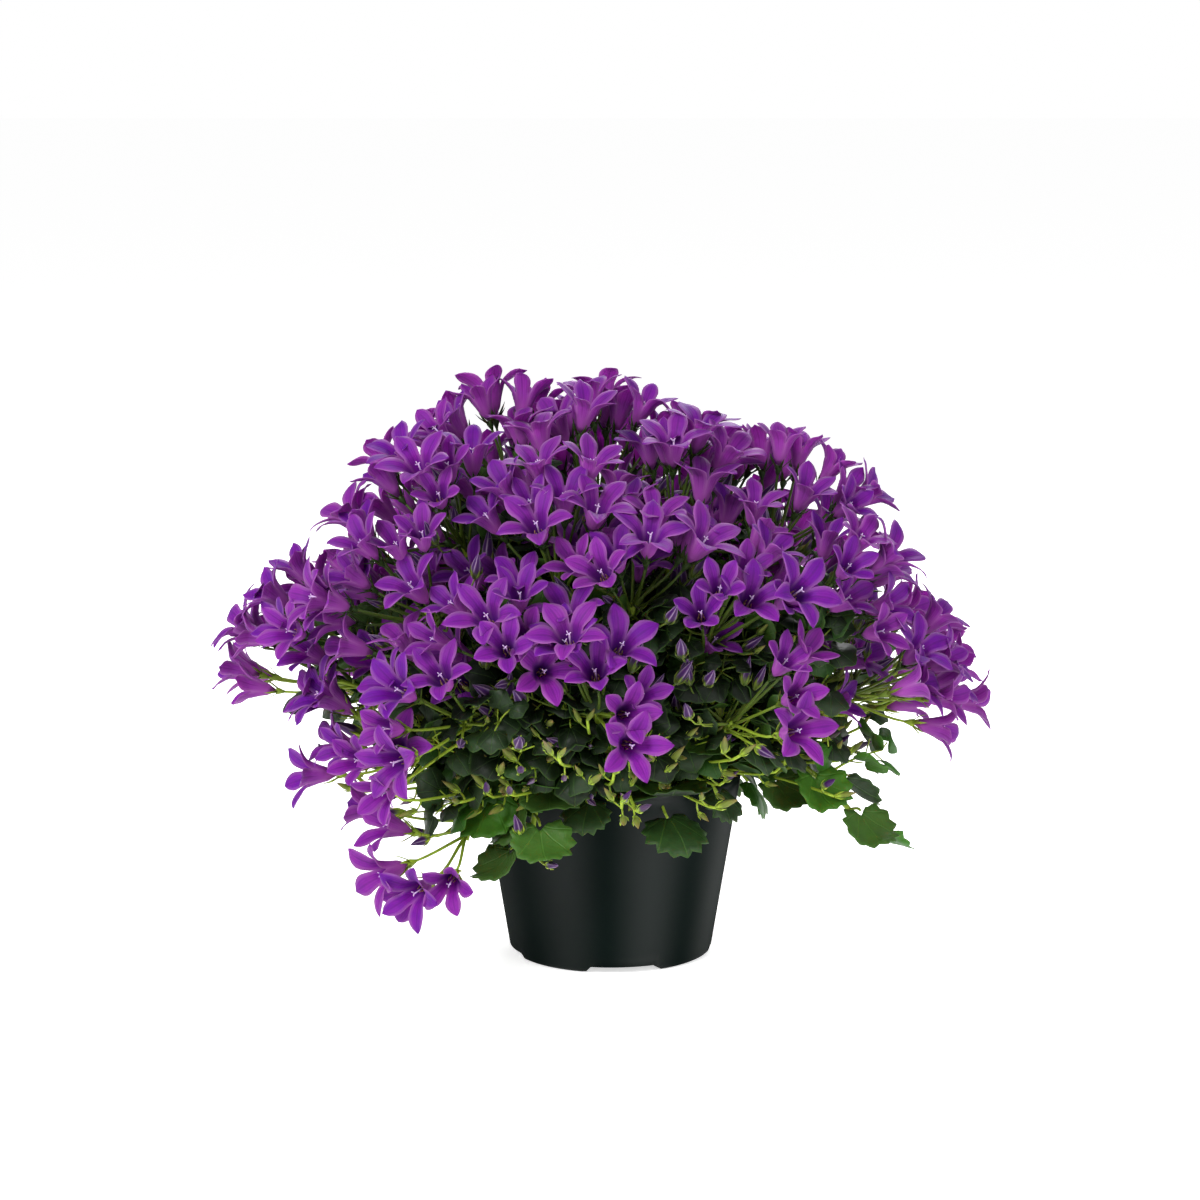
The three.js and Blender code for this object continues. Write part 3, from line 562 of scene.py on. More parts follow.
class Finish:
    """A material with one Principled shader."""

    def __init__(self, name, **constants):
        self.material = bpy.data.materials.new(name)
        self.material.use_nodes = True
        self.tree = self.material.node_tree
        self.shader = self.tree.nodes["Principled BSDF"]
        for socket, value in constants.items():
            self.shader.inputs[socket.replace("_", " ")].default_value = value

    def link(self, socket, value):
        if isinstance(value, Signal):
            self.tree.links.new(value.socket, socket)
        else:
            socket.default_value = value

    def node(self, kind, settings, *values, output=0, **named):
        """Adds a node, sets it, and gives its inputs in order or by name."""
        node = self.tree.nodes.new(kind)
        for key, value in settings.items():
            setattr(node, key, value)
        for socket, value in zip(node.inputs, values):
            self.link(socket, value)
        for key, value in named.items():
            self.link(node.inputs[key], value)
        return Signal(self, node.outputs[output])

    def number(self, name):
        """A number that the mesh holds for each corner."""
        return self.node("ShaderNodeAttribute", {"attribute_name": name}, output="Fac")

    def numbers(self, *names):
        return [self.number(name) for name in names]

    def place(self):
        return self.node("ShaderNodeTexCoord", {}, output="Object")

    def noise(self, scale, detail=2.0, stretch=None):
        """Noise from 0 to 1 with a scale in features a metre."""
        place = self.place()
        if stretch:
            place = self.node("ShaderNodeVectorMath", {"operation": "MULTIPLY"}, place, stretch)
        return self.node("ShaderNodeTexNoise", {}, Vector=place, Scale=scale, Detail=detail)

    def blend(self, share, first, second):
        """The colour a share of the way from first to second."""
        node = self.tree.nodes.new("ShaderNodeMix")
        node.data_type = "RGBA"
        self.link(node.inputs["Factor"], share)
        self.link(node.inputs[6], first)
        self.link(node.inputs[7], second)
        return Signal(self, node.outputs[2])

    def feed(self, name, value):
        self.link(self.shader.inputs[name], value)

    def bump(self, height, distance, strength=1.0):
        """Relief of a height from 0 to 1 times a distance in millimetres."""
        relief = self.node("ShaderNodeBump", {}, Height=height, Distance=distance * MM, Strength=strength)
        self.link(self.shader.inputs["Normal"], relief)


def colour(code):
    """A linear colour with alpha from six hexadecimal digits of a screen colour."""
    screen = np.array([int(code[k:k + 2], 16) for k in (0, 2, 4)]) / 255
    linear = np.where(screen <= 0.04045, screen / 12.92, ((screen + 0.055) / 1.055) ** 2.4)
    return (*linear.tolist(), 1.0)


# Noise in features a metre, relief in millimetres, and how strong each tint is
PETAL_CLOUD = 150.0
PETAL_RELIEF = 0.15
PETAL_VEINS = 24.0
PETAL_EDGE_TINT = 0.26
PETAL_RIB_TINT = 0.35
PETAL_VEIN_TINT = 0.14
LEAF_CLOUD = 180.0
LEAF_RELIEF = 0.35
LEAF_VEIN_TURN = 0.62
LEAF_TWIGS = 9.0
LEAF_TWIG_SLANT = 1.6
LEAF_TWIG_TINT = 0.12
LEAF_MOTTLE = 0.3
LEAF_EDGE_TINT = 0.16
LEAF_UNDERSIDE_TINT = 0.3
STEM_CLOUD = 400.0
STEM_FIBRES = 1500.0
STEM_RELIEF = 0.1
BUD_RELIEF = 0.2
POT_CLOUD = 22.0
POT_GRAIN = 2600.0
POT_RELIEF = 0.05
POT_BANDS = 8.0
POT_BAND_START = math.pi / 2 - POT_BANDS * math.radians(20)
POT_SLOW_BANDS = 2.0
POT_SLOW_START = 1.2
POT_BAND_GLOSS = 0.34
POT_WORN_GLOSS = 0.1
PEAT_CRUMBS = 420.0
PEAT_RELIEF = 1.2


def petal_finish(colours):
    """Violet petals: a blue-violet throat, a paler outside of the tube and lobes that is painted light
    shining through the petals, a faint darker midrib, a paler rim, fine veins along the lobe and a
    tone of their own for each bloom."""
    finish = Finish("petal", Roughness=0.6, Specular_IOR_Level=0.12, Sheen_Weight=0.03,
                    Sheen_Roughness=0.5, Subsurface_Weight=0.2, Subsurface_Scale=0.003,
                    Subsurface_Radius=(0.8, 0.2, 0.8))
    along, across, tone, inside = finish.numbers("along", "across", "tone", "inside")
    cloud = finish.noise(PETAL_CLOUD)
    patchy = tone * 0.8 + cloud.smooth(0.3, 0.7) * 0.4 - 0.1
    body = finish.blend(patchy, colours.petal_deep, colours.petal_light)
    # The paler outside of the tube, and half of it on each lobe's outside, is painted light shining through
    # the petals
    tube = finish.blend(inside, colours.tube, colours.throat)
    lobe = along.smooth(0.12, 0.5)
    face = finish.blend(inside * 0.5 + 0.5, colours.tube, body)
    tinted = finish.blend(lobe, tube, face)
    rim = across.smooth(0.5, 1.0) * lobe * PETAL_EDGE_TINT
    edged = finish.blend(rim, tinted, colours.petal_edge)
    rib = (1 - across.smooth(0.0, 0.2)) * along.smooth(0.3, 0.5) * (1 - along.smooth(0.7, 1.0))
    ribbed = finish.blend(rib * PETAL_RIB_TINT, edged, colours.petal_rib)
    veins = ((across * PETAL_VEINS + cloud * 2.0).sine() * 0.5 + 0.5) * lobe
    finish.feed("Base Color", finish.blend(veins * PETAL_VEIN_TINT, ribbed, colours.petal_rib))
    finish.bump(veins * 0.6 - rib * 0.5, PETAL_RELIEF, 0.6)
    return finish.material


def leaf_finish(colours):
    """Leaves: from fresh green through grey-green to dark by their tone, which is painted light at the rim
    and painted shade deep inside; a few pale veins that fan out from the stalk, faint side veins, pale tooth
    edges and a paler underside."""
    finish = Finish("leaf", Specular_IOR_Level=0.2, Subsurface_Weight=0.04, Subsurface_Scale=0.002)
    x, y, tone, edge, below = finish.numbers("leaf_x", "leaf_y", "tone", "edge", "below")
    angle = finish.node("ShaderNodeMath", {"operation": "ARCTAN2"}, x, y + 0.02)
    reach = (x * x + y * y) ** 0.5
    fan = ((angle * (1 / LEAF_VEIN_TURN) + 0.5).fraction() - 0.5).size() * reach
    main = 1 - fan.smooth(0.004, 0.03)
    slant = (angle * (1 / LEAF_VEIN_TURN) + 0.5).fraction() * LEAF_TWIG_SLANT
    twig = ((reach * LEAF_TWIGS + slant).fraction() - 0.5).size()
    side = (1 - twig.smooth(0.02, 0.14)) * LEAF_TWIG_TINT
    vein = main.math("MAXIMUM", main, side)
    fresh_to_shaded = finish.blend(tone.smooth(0.0, 0.5), colours.leaf_fresh, colours.leaf_grey)
    body = finish.blend(tone.smooth(0.55, 0.9), fresh_to_shaded, colours.leaf_shade_and_mottle)
    cloud = finish.noise(LEAF_CLOUD, 3.0)
    mottled = finish.blend(cloud.smooth(0.35, 0.7) * LEAF_MOTTLE, body, colours.leaf_shade_and_mottle)
    pale = vein.math("MAXIMUM", vein * (0.3 - tone * 0.2), edge.smooth(0.88, 1.0) * LEAF_EDGE_TINT)
    veined = finish.blend(pale, mottled, colours.leaf_vein)
    finish.feed("Base Color", finish.blend(below * LEAF_UNDERSIDE_TINT, veined, colours.leaf_vein))
    finish.feed("Roughness", 0.4 + cloud * 0.2)
    finish.bump(cloud * 0.6 - vein * 0.8, LEAF_RELIEF, 0.6)
    return finish.material


def stem_finish(colours):
    """Stems and calyces: bright yellow-green, turned darker and browner by their tone, which paints shade
    near the soil and up in the dome.
    """
    finish = Finish("stem", Roughness=0.5, Specular_IOR_Level=0.2, Subsurface_Weight=0.08,
                    Subsurface_Scale=0.002)
    body = finish.blend(finish.number("tone"), colours.stem_fresh, colours.stem_shade_and_mottle)
    cloud = finish.noise(STEM_CLOUD)
    finish.feed("Base Color", finish.blend(cloud.smooth(0.4, 0.8) * 0.3, body, colours.stem_shade_and_mottle))
    finish.bump(finish.noise(STEM_FIBRES, stretch=(1, 1, 0.15)), STEM_RELIEF, 0.4)
    return finish.material


def bud_finish(colours):
    """Closed buds: green at the foot, violet with paler pleats towards the point."""
    finish = Finish("bud", Roughness=0.5, Specular_IOR_Level=0.2, Sheen_Weight=0.06,
                    Subsurface_Weight=0.08, Subsurface_Scale=0.003)
    along, pleat, tone, shade = finish.numbers("along", "across", "tone", "shade")
    violet = finish.blend(pleat**4.0 * 0.75, colours.petal_rib, colours.bud_pleat)
    green = finish.blend(along.smooth(0.5, 1.0) * 0.6, colours.bud_green, colours.stamen)
    ripe = finish.blend(tone.smooth(0.35, 0.5), green, violet)
    # The stalk and cup darken with the stalks' painted shade up in the dome
    cup = finish.blend(shade, colours.stem_fresh, colours.stem_shade_and_mottle)
    finish.feed("Base Color", finish.blend(along.smooth(0.1, 0.4), cup, ripe))
    finish.bump(pleat, BUD_RELIEF, 0.5)
    return finish.material


def pistil_finish(colours):
    """Pale lilac pistils, whiter at the tip, with warm brown stamens round their foot."""
    finish = Finish("pistil", Roughness=0.5, Subsurface_Weight=0.1, Subsurface_Scale=0.002)
    along, tone = finish.numbers("along", "tone")
    style = finish.blend(along.smooth(0.3, 0.9), colours.petal_edge, colours.stigma)
    finish.feed("Base Color", finish.blend(tone, style, colours.stamen))
    return finish.material


def pot_finish(colours):
    """Moulded plastic: anthracite with a green cast, fine grain, and a gloss that comes and goes in
    soft upright bands, where the wall is rubbed and where it is dull."""
    finish = Finish("pot_plastic", Specular_IOR_Level=0.0, Coat_Roughness=0.32)
    cloud = finish.noise(POT_CLOUD, 4.0, (1, 1, 0.35))
    grain = finish.noise(POT_GRAIN)
    finish.feed("Base Color", finish.blend(cloud, colours.pot, colours.pot_worn))
    finish.feed("Roughness", 0.36 + cloud * 0.12 + grain * 0.05)
    x, y = finish.numbers("wall_x", "wall_y")
    turn = finish.node("ShaderNodeMath", {"operation": "ARCTAN2"}, x, y)
    band = (turn * POT_BANDS + POT_BAND_START).sine() * 0.5 + 0.5
    slow = (turn * POT_SLOW_BANDS + POT_SLOW_START).sine() * 0.5 + 0.5
    finish.feed("Coat Weight", band * slow * POT_BAND_GLOSS + cloud * POT_WORN_GLOSS)
    finish.bump(grain, POT_RELIEF, 0.35)
    return finish.material


def soil_finish(colours):
    """Peat: brown crumbs and darker hollows."""
    finish = Finish("peat", Roughness=0.95)
    cloud = finish.noise(PEAT_CRUMBS, 5.0)
    finish.feed("Base Color", finish.blend(cloud.smooth(0.3, 0.7), colours.peat_dark, colours.peat))
    finish.bump(cloud, PEAT_RELIEF, 0.8)
    return finish.material


def stage_finish(glow):
    """Plain white paper with a slight glow, so that it is as pale far away as near."""
    finish = Finish("stage_paper", Roughness=0.9, Specular_IOR_Level=0.0, Emission_Strength=glow)
    finish.feed("Base Color", (0.97, 0.97, 0.97, 1.0))
    finish.feed("Emission Color", (1.0, 1.0, 1.0, 1.0))
    return finish.material


MAKERS = {"petal": petal_finish, "leaf": leaf_finish, "stem": stem_finish, "bud": bud_finish,
          "pistil": pistil_finish, "pot": pot_finish, "soil": soil_finish}
FINISHES = {}


def finishes(colours, *names):
    """The materials of those names, each made at its first use."""
    for name in names:
        if name not in FINISHES:
            FINISHES[name] = MAKERS[name](colours)
    return [FINISHES[name] for name in names]


# Blooms

# The grid of a bell, its mouth, the tube's shape, and a lobe's half widths, widest place and thickness
LOBE_COLUMNS = 5
TUBE_ROWS = 3
LOBE_ROWS = 8
CELLS = LOBE_COLUMNS - 1
MOUTH_RADIUS = 5.6
MOUTH_HEIGHT = 13.6
MOUTH_HOLLOW = 1.15
MOUTH_OVERLAP = 1.02
TUBE_FOOT = 0.2
TUBE_FLUTES = 0.04
TUBE_WAIST = 0.1
LOBE_NECK = 3.4
LOBE_SPREAD = 4.5
LOBE_WIDEST = 0.42
LOBE_SHARPNESS = 1.6
PETAL_THICKNESS = 0.25
TUBE_SHARE = 0.45
# How far a lobe's line runs on at its two ends, out and up, for a closed and an open bell
MOUTH_PULLS = ((2.2, 3.2), (10.0, 9.0))
TIP_PULLS = ((6.0, 11.0), (5.0, -6.0))
# How far the draws move a tip out and up, bend its end, and sway, twist and widen a lobe
TIP_STRAY = (0.8, 1.2, 3.0)
LOBE_SWAY = 1.3
LOBE_TWIST = 0.25
LOBE_SWELL = 0.1
# Depths of a lobe's hollow, roll, crease and wave
LOBE_HOLLOW = 0.35
LOBE_ROLL = 0.7
CREASE = 0.35
WAVE = 0.4


def bell_faces():
    """Faces of a bell: a fan at the foot, the rings of the tube, then five lobes that each go on
    from a fifth of the last ring and end in one corner."""
    around = FIVE * CELLS
    block = (LOBE_ROWS - 1) * LOBE_COLUMNS + 1
    start = 1 + TUBE_ROWS * around
    quads = [strip_faces(TUBE_ROWS, around, True) + 1]
    tips = [fan_faces(0, np.arange(around) + 1, back=True)]
    for lobe in range(FIVE):
        base = start + lobe * block
        low = start - around + (lobe * CELLS + np.arange(LOBE_COLUMNS)) % around
        rows = np.concatenate([low, base + np.arange(block - 1)]).reshape(LOBE_ROWS, LOBE_COLUMNS)
        quads.append(rows.ravel()[strip_faces(LOBE_ROWS, LOBE_COLUMNS, False)])
        tips.append(np.stack([rows[-1, :-1], rows[-1, 1:], np.full(CELLS, base + block - 1)], -1))
    return [np.concatenate(quads), np.concatenate(tips)]


def lobe_lines(openness, draws):
    """Middle lines of the lobes, seen from the side: radius, height and the line's two slopes at
    each row, as cubic curves from the mouth of the tube out to the tip."""
    t = (np.arange(1, LOBE_ROWS + 1) / LOBE_ROWS)[None, None, :]
    start = (MOUTH_RADIUS * MOUTH_OVERLAP, MOUTH_HEIGHT)
    end = [tip + stray * draw for tip, stray, draw in zip(lobe_tip(openness), TIP_STRAY, draws)]
    pull_in = [mixed(*pulls, openness) for pulls in MOUTH_PULLS]
    pull_out = [mixed(*pulls, openness) for pulls in TIP_PULLS]
    pull_out[1] = pull_out[1] + TIP_STRAY[2] * draws[2]
    shares = (2 * t**3 - 3 * t**2 + 1, t**3 - 2 * t**2 + t, 3 * t**2 - 2 * t**3, t**3 - t**2)
    slopes = (6 * t**2 - 6 * t, 3 * t**2 - 4 * t + 1, 6 * t - 6 * t**2, 3 * t**2 - 2 * t)
    ends = list(zip(start, pull_in, end, pull_out))
    line = [sum(share * value for share, value in zip(shares, side)) for side in ends]
    slope = [sum(share * value for share, value in zip(slopes, side)) for side in ends]
    return t, line, slope


def bell_shapes(openness, rng):
    """Corners of bells along +Z, with their shares along and across the lobe.

    The tube's radius grows from the foot as a power curve, and swells by a cosine at each lobe. A
    lobe's half width goes from its neck to its widest place as a smooth step, and closes from there
    as a power, to a sharp tip. Its cross-section is a parabola, hollow at the mouth and rolled back
    towards the tip, with a crease along the middle, a wavy edge and a small twist."""
    copies = len(openness)
    share = ((np.arange(TUBE_ROWS) + 1) / TUBE_ROWS) ** 0.9
    azimuth = (np.arange(FIVE * CELLS) / CELLS - 0.5) * FULL_TURN / FIVE
    swell = 1 + TUBE_FLUTES * (1 + np.cos(FIVE * azimuth)) * share[:, None]
    growth = TUBE_FOOT + (1 - TUBE_FOOT) * share**0.75
    radius = MOUTH_RADIUS * growth * (1 - TUBE_WAIST * np.sin(math.pi * share))
    tube = np.stack([
        radius[:, None] * swell * np.cos(azimuth),
        radius[:, None] * swell * np.sin(azimuth),
        np.broadcast_to(MOUTH_HEIGHT * share[:, None], swell.shape),
    ], -1).reshape(1, -1, 3)
    tube = np.broadcast_to(tube, (copies, tube.shape[1], 3))
    foot = np.zeros((copies, 1, 3))
    draws = rng.uniform(-1, 1, (6, copies, FIVE, 1))
    draws[:3] = 0.5 * draws[:3] + rng.uniform(-1, 1, (3, copies, 1, 1))
    t, (out, up), (out_slope, up_slope) = lobe_lines(openness[:, None, None], draws)
    length = np.hypot(out_slope, up_slope)
    lean_out, lean_up = -up_slope / length, out_slope / length
    closing = 1 - np.clip((t - LOBE_WIDEST) / (1 - LOBE_WIDEST), 0, 1) ** LOBE_SHARPNESS
    width = mixed(LOBE_NECK, LOBE_SPREAD, smoothstep(0.05, 0.5, t)) * closing * (1 + LOBE_SWELL * draws[5])
    hollow = MOUTH_HOLLOW * (1 - t)**2.2 + LOBE_HOLLOW * np.sin(math.pi * t) - LOBE_ROLL * t**2
    u = np.linspace(-1, 1, LOBE_COLUMNS)[None, None, None, :]
    row, width, sway, twist = t[..., None], width[..., None], draws[3][..., None], draws[4][..., None]
    crease = -CREASE * np.exp(-(u / 0.3)**2) * np.sin(math.pi * t)[..., None]
    wave = WAVE * np.sin(FULL_TURN * (1.1 * row + sway)) * u**2 * row
    lift = hollow[..., None] * u**2 + crease + wave + LOBE_TWIST * twist * row * u * width
    sideways = width * u + LOBE_SWAY * sway * row**2
    radial = out[..., None] + lean_out[..., None] * lift
    height = up[..., None] + lean_up[..., None] * lift
    angle = (np.arange(FIVE) * FULL_TURN / FIVE)[None, :, None, None]
    lobes = np.stack([radial * np.cos(angle) - sideways * np.sin(angle),
                      radial * np.sin(angle) + sideways * np.cos(angle), height], -1)
    rows = lobes[:, :, :-1].reshape(copies, FIVE, -1, 3)
    tips = lobes[:, :, -1:, CELLS // 2]
    blocks = np.concatenate([rows, tips], 2).reshape(copies, -1, 3)
    corners = np.concatenate([foot, tube, blocks], 1)
    ring_across = np.abs((np.arange(FIVE * CELLS) / CELLS) % 1 - 0.5) * 2
    across_rows = np.tile(np.abs(u).ravel(), LOBE_ROWS - 1)
    lobe_across = np.tile(np.append(across_rows, 0), FIVE)
    across = np.concatenate([[0], np.tile(ring_across, TUBE_ROWS), lobe_across])
    tube_along = np.repeat(TUBE_SHARE * share, FIVE * CELLS)
    lobe_along = mixed(TUBE_SHARE, 1, np.append(np.repeat(t.ravel()[:-1], LOBE_COLUMNS), 1))
    along = np.concatenate([[0], tube_along, np.tile(lobe_along, FIVE)])
    return corners, along, across


# Seeds of the draws
PLANT_SEED = 7
BELL_SEED = 11
SEPAL_SEED = 3
RUNNER_SEED = 23
LEAF_SEED = 5
RIM_LEAF_SEED = 17
SHOOT_SEED = 21
BUD_SEED = 9
# How much each read bell is tilted, and heights on a bell's axis that stand for its body
BELL_TILT = 0.14
BODY_HEIGHTS = np.array([2.0, 8.0, 14.0, 20.0])[:, None]
# Further blooms between the heads: how many, of how many draws, the room round each, its depth under
# the dome's skin, its lowest and highest rise, and how far its axis strays
SIDE_BLOOMS = 118
SIDE_BLOOM_DRAWS = 9000
SIDE_BLOOM_ROOM = 11.5
SIDE_BLOOM_DEPTH = (16.0, 74.0)
SIDE_BLOOM_LOWEST = math.radians(14)
SIDE_BLOOM_HIGHEST = math.radians(86)
SIDE_BLOOM_TILT = 0.3
SIDE_BLOOM_OPENNESS = (0.2, 1)
# The skin follows the nearest stems the more, the greater this is
SKIN_EVENNESS = 14.0
# The hollow in front that stays bare: its middle turn, half width and rise, the block inside it, and
# the share of draws that is kept in the front at large
HOLLOW_TURN = math.radians(15)
HOLLOW_WIDTH = math.radians(60)
HOLLOW_RISE = math.radians(34)
HOLLOW_SIDES = (-30.0, 85.0)
HOLLOW_BACK = -15.0
HOLLOW_TOP = 165.0
FRONT_WIDTH = math.radians(75)
FRONT_SHARE = 0.5
# The ring of the dome that stands against the sky in the front view: how far a way may point to the
# front, its lowest rise, how many blooms of how many draws, the depth, the room in all, and the room
# in the front view
RING_LEAN = 0.6
RING_LOWEST = math.radians(20)
RING_BLOOMS = 38
RING_DRAWS = 5000
RING_DEPTH = (21.0, 70.0)
RING_ROOM = 8.5
RING_FRONT_ROOM = 4.2
# The places on the stems that bear them, and how far under a foot the nearest one is looked for
BEARING_PLACES = np.linspace(0.4, 0.95, 12)
BEARING_DEPTH = 20


class Plant:
    """Everything read from the solids, and the draws that the pieces share."""

    def __init__(self):
        rng = np.random.default_rng(PLANT_SEED)
        self.feet, axes, lobes, self.openness, self.bell_spray = read_blooms()
        self.axes = unit(axes + rng.uniform(-BELL_TILT, BELL_TILT, axes.shape))
        self.lobes = flattened(lobes, self.axes)
        self.bell_bodies = (self.feet[:, None] + BODY_HEIGHTS * self.axes[:, None]).reshape(-1, 3)
        self.add_side_blooms(rng)
        self.sizes = mixed(BLOOM_MIN, BLOOM_MAX, self.openness)
        self.tones = rng.uniform(0, 1, len(self.feet))
        leaves, buds = read_leaves_and_buds()
        self.leaf_bases, self.leaf_tips, self.leaf_normals, self.leaf_sizes, self.leaf_spray = leaves
        self.bud_feet, self.bud_axes, self.bud_lengths, self.bud_spray = buds

    def add_side_blooms(self, rng):
        """Adds blooms between the heads, then blooms near the dome's outline that close the gaps of
        the front view. Turns and rises are drawn evenly, the first outside the dome's bare hollow,
        with depths under a skin that is the mean of the near stems' reaches. A draw stays if it has
        room to all before it, and hangs on the nearest point of a stem."""
        count = SIDE_BLOOM_DRAWS + RING_DRAWS
        turn = rng.uniform(-math.pi, math.pi, count)
        rise = rng.uniform(SIDE_BLOOM_LOWEST, SIDE_BLOOM_HIGHEST, count)
        ways = heading(turn, rise)
        near = np.exp(SKIN_EVENNESS * (ways @ STEM_AXES.T))
        skin = near @ SPRAYS[:, 2] / near.sum(1)
        ring = np.arange(count) >= SIDE_BLOOM_DRAWS
        depth = np.where(ring, rng.uniform(*RING_DEPTH, count), rng.uniform(*SIDE_BLOOM_DEPTH, count))
        feet = ways * (skin - depth)[:, None] + CROWN
        aside = np.abs(turn - HOLLOW_TURN)
        thinned = (aside < FRONT_WIDTH) & (rng.uniform(0, 1, count) > FRONT_SHARE)
        inside = ((feet[:, 0] > HOLLOW_SIDES[0]) & (feet[:, 0] < HOLLOW_SIDES[1])
                  & (feet[:, 1] < HOLLOW_BACK) & (feet[:, 2] < HOLLOW_TOP))
        bare = thinned | inside | ((rise < HOLLOW_RISE) & (aside < HOLLOW_WIDTH))
        usable = np.where(ring, (np.abs(ways[:, 1]) < RING_LEAN) & (rise > RING_LOWEST), ~bare)
        stems = np.repeat(np.unique(self.bell_spray)[:, None], len(BEARING_PLACES), 1)
        places = stem_places(stems, np.broadcast_to(BEARING_PLACES, stems.shape)).reshape(-1, 3)
        bodies, kept, roots, sprays = self.bell_bodies, [], [], []
        wanted = {False: SIDE_BLOOMS, True: RING_BLOOMS}
        for index in np.nonzero(usable)[0]:
            outer = bool(ring[index])
            if not wanted[outer]:
                continue
            foot, way = feet[index], ways[index]
            body = foot + BODY_HEIGHTS * way
            away = bodies[:, None] - body[None]
            if np.linalg.norm(away, axis=-1).min() < (RING_ROOM if outer else SIDE_BLOOM_ROOM):
                continue
            if outer and np.linalg.norm(away[:, 1:3, ::2], axis=-1).min() < RING_FRONT_ROOM:
                continue
            below = foot - BEARING_DEPTH * way
            nearest = int(np.argmin(np.linalg.norm(places - below, axis=1)))
            bodies = np.concatenate([bodies, body])
            kept.append(index)
            roots.append(places[nearest])
            sprays.append(stems.ravel()[nearest])
            wanted[outer] -= 1
        strays = rng.uniform(-SIDE_BLOOM_TILT, SIDE_BLOOM_TILT, (len(kept), 3))
        axes = unit(ways[kept] + strays)
        angle = rng.uniform(0, FULL_TURN, len(kept))[:, None]
        first, second = cross_axes(axes)
        openness = rng.uniform(*SIDE_BLOOM_OPENNESS, len(kept))
        self.side_roots = np.array(roots)
        self.bell_bodies = bodies
        self.feet = np.concatenate([self.feet, feet[kept]])
        self.axes = np.concatenate([self.axes, axes])
        self.lobes = np.concatenate([self.lobes, first * np.cos(angle) + second * np.sin(angle)])
        self.openness = np.concatenate([self.openness, openness])
        self.bell_spray = np.concatenate([self.bell_spray, sprays])

    def room(self, places):
        """How far each place is from the nearest bell's middle line."""
        return np.array([np.linalg.norm(self.bell_bodies - place, axis=1).min() for place in places])

    def in_bells(self, *line):
        """A line of one bell, given as out to a lobe, aside and up at each point, put in every bell
        at its own size."""
        line = np.stack(np.broadcast_arrays(*line), -1)
        line = line if line.ndim == 3 else line[None]
        return placed(line * self.sizes[:, None, None], self.feet, self.lobes, self.axes)


PLANT = Plant()


def bell_pieces(colours):
    """One piece for each spray's bells."""
    shapes, along, across = bell_shapes(PLANT.openness, np.random.default_rng(BELL_SEED))
    corners = placed(shapes * PLANT.sizes[:, None, None], PLANT.feet, PLANT.lobes, PLANT.axes)
    corners, faces, inside = two_sided(corners, bell_faces(), PETAL_THICKNESS)
    for spray in np.unique(PLANT.bell_spray):
        chosen = PLANT.bell_spray == spray
        surface = Surface()
        surface.add(corners[chosen], faces, along=np.tile(along, 2)[None], across=np.tile(across, 2)[None],
                    inside=inside[None], tone=PLANT.tones[chosen][:, None])
        name = SPRAY_NAMES[spray]
        piece = surface.piece("bells_" + name, finishes(colours, "petal"))
        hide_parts("blooms_" + name)


# The calyx: heights and radii of its cup, and a sepal's root, reach, strays and half widths
CUP_HEIGHTS = np.array([-4.2, -2.8, -0.6, 1.0])
CUP_RADII = np.array([0.6, 1.1, 2.0, 1.75])
SEPAL_ROOT = (1.7, 0.1)
SEPAL_REACH = (4.6, 6.6)
SEPAL_STRAY = (1.1, 1.3)
SEPAL_WIDTHS = np.array([0.85, 0.85, 0.06])
SEPAL_FLATNESS = 0.3
SEPAL_POINTS = 3
SEPAL_SIDES = 3


def calyx_piece(colours):
    """Under each bell a green cup with five narrow sepals that hug the tube."""
    surface = Surface()
    sizes = PLANT.sizes[:, None]
    shade = stalk_shade(PLANT.feet)[:, None]
    surface.tubes(PLANT.in_bells(0.0, 0.0, CUP_HEIGHTS), CUP_RADII[None] * sizes, FIVE, tone=0.2 + shade)
    draws = np.random.default_rng(SEPAL_SEED).uniform(-1, 1, (FIVE, len(PLANT.feet), 1, 1))
    steps = np.linspace(0, 1, SEPAL_POINTS)
    for lobe in range(FIVE):
        angle = (lobe + 0.5) * FULL_TURN / FIVE
        draw = draws[lobe][..., 0]
        out = (SEPAL_ROOT[0] + SEPAL_REACH[0] * steps**0.8) + draw * SEPAL_STRAY[0] * steps**2
        up = (SEPAL_ROOT[1] + SEPAL_REACH[1] * steps) - draw * SEPAL_STRAY[1] * steps**2
        paths = PLANT.in_bells(out * math.cos(angle), out * math.sin(angle), up)
        facing = -math.sin(angle) * PLANT.lobes + math.cos(angle) * np.cross(PLANT.axes, PLANT.lobes)
        surface.tubes(paths, SEPAL_WIDTHS[None] * sizes, SEPAL_SIDES, flat=SEPAL_FLATNESS, facing=facing,
                      tone=lambda along: 0.1 + 0.2 * along + shade)
    piece = surface.piece("calyces", finishes(colours, "stem"))


# The pistil's heights, bend and radii, then out, up and radii of a stigma lobe and of a stamen
PISTIL_RISE = np.linspace(1.0, 14.5, 4)
PISTIL_BEND = 0.4
PISTIL_SIDES = 4
PISTIL_RADII = np.array([0.5, 0.32, 0.34, 0.42])
STIGMA_LOBES = 3
STIGMA = np.array([(0.2, 14.2, 0.34), (1.2, 15.0, 0.26)]).T
STAMEN = np.array([(1.0, 2.0, 0.25), (1.9, 6.5, 0.42), (1.4, 9.5, 0.25)]).T
STAMEN_SIDES = 3
# Rings of small parts in the mouth: how many, the first one's turn, the part, and its along and tone
MOUTH_PARTS = ((STIGMA_LOBES, 0.4, STIGMA, 1.0, 0.0), (FIVE, 0.5 * FULL_TURN / FIVE, STAMEN, 0.5, 1.0))


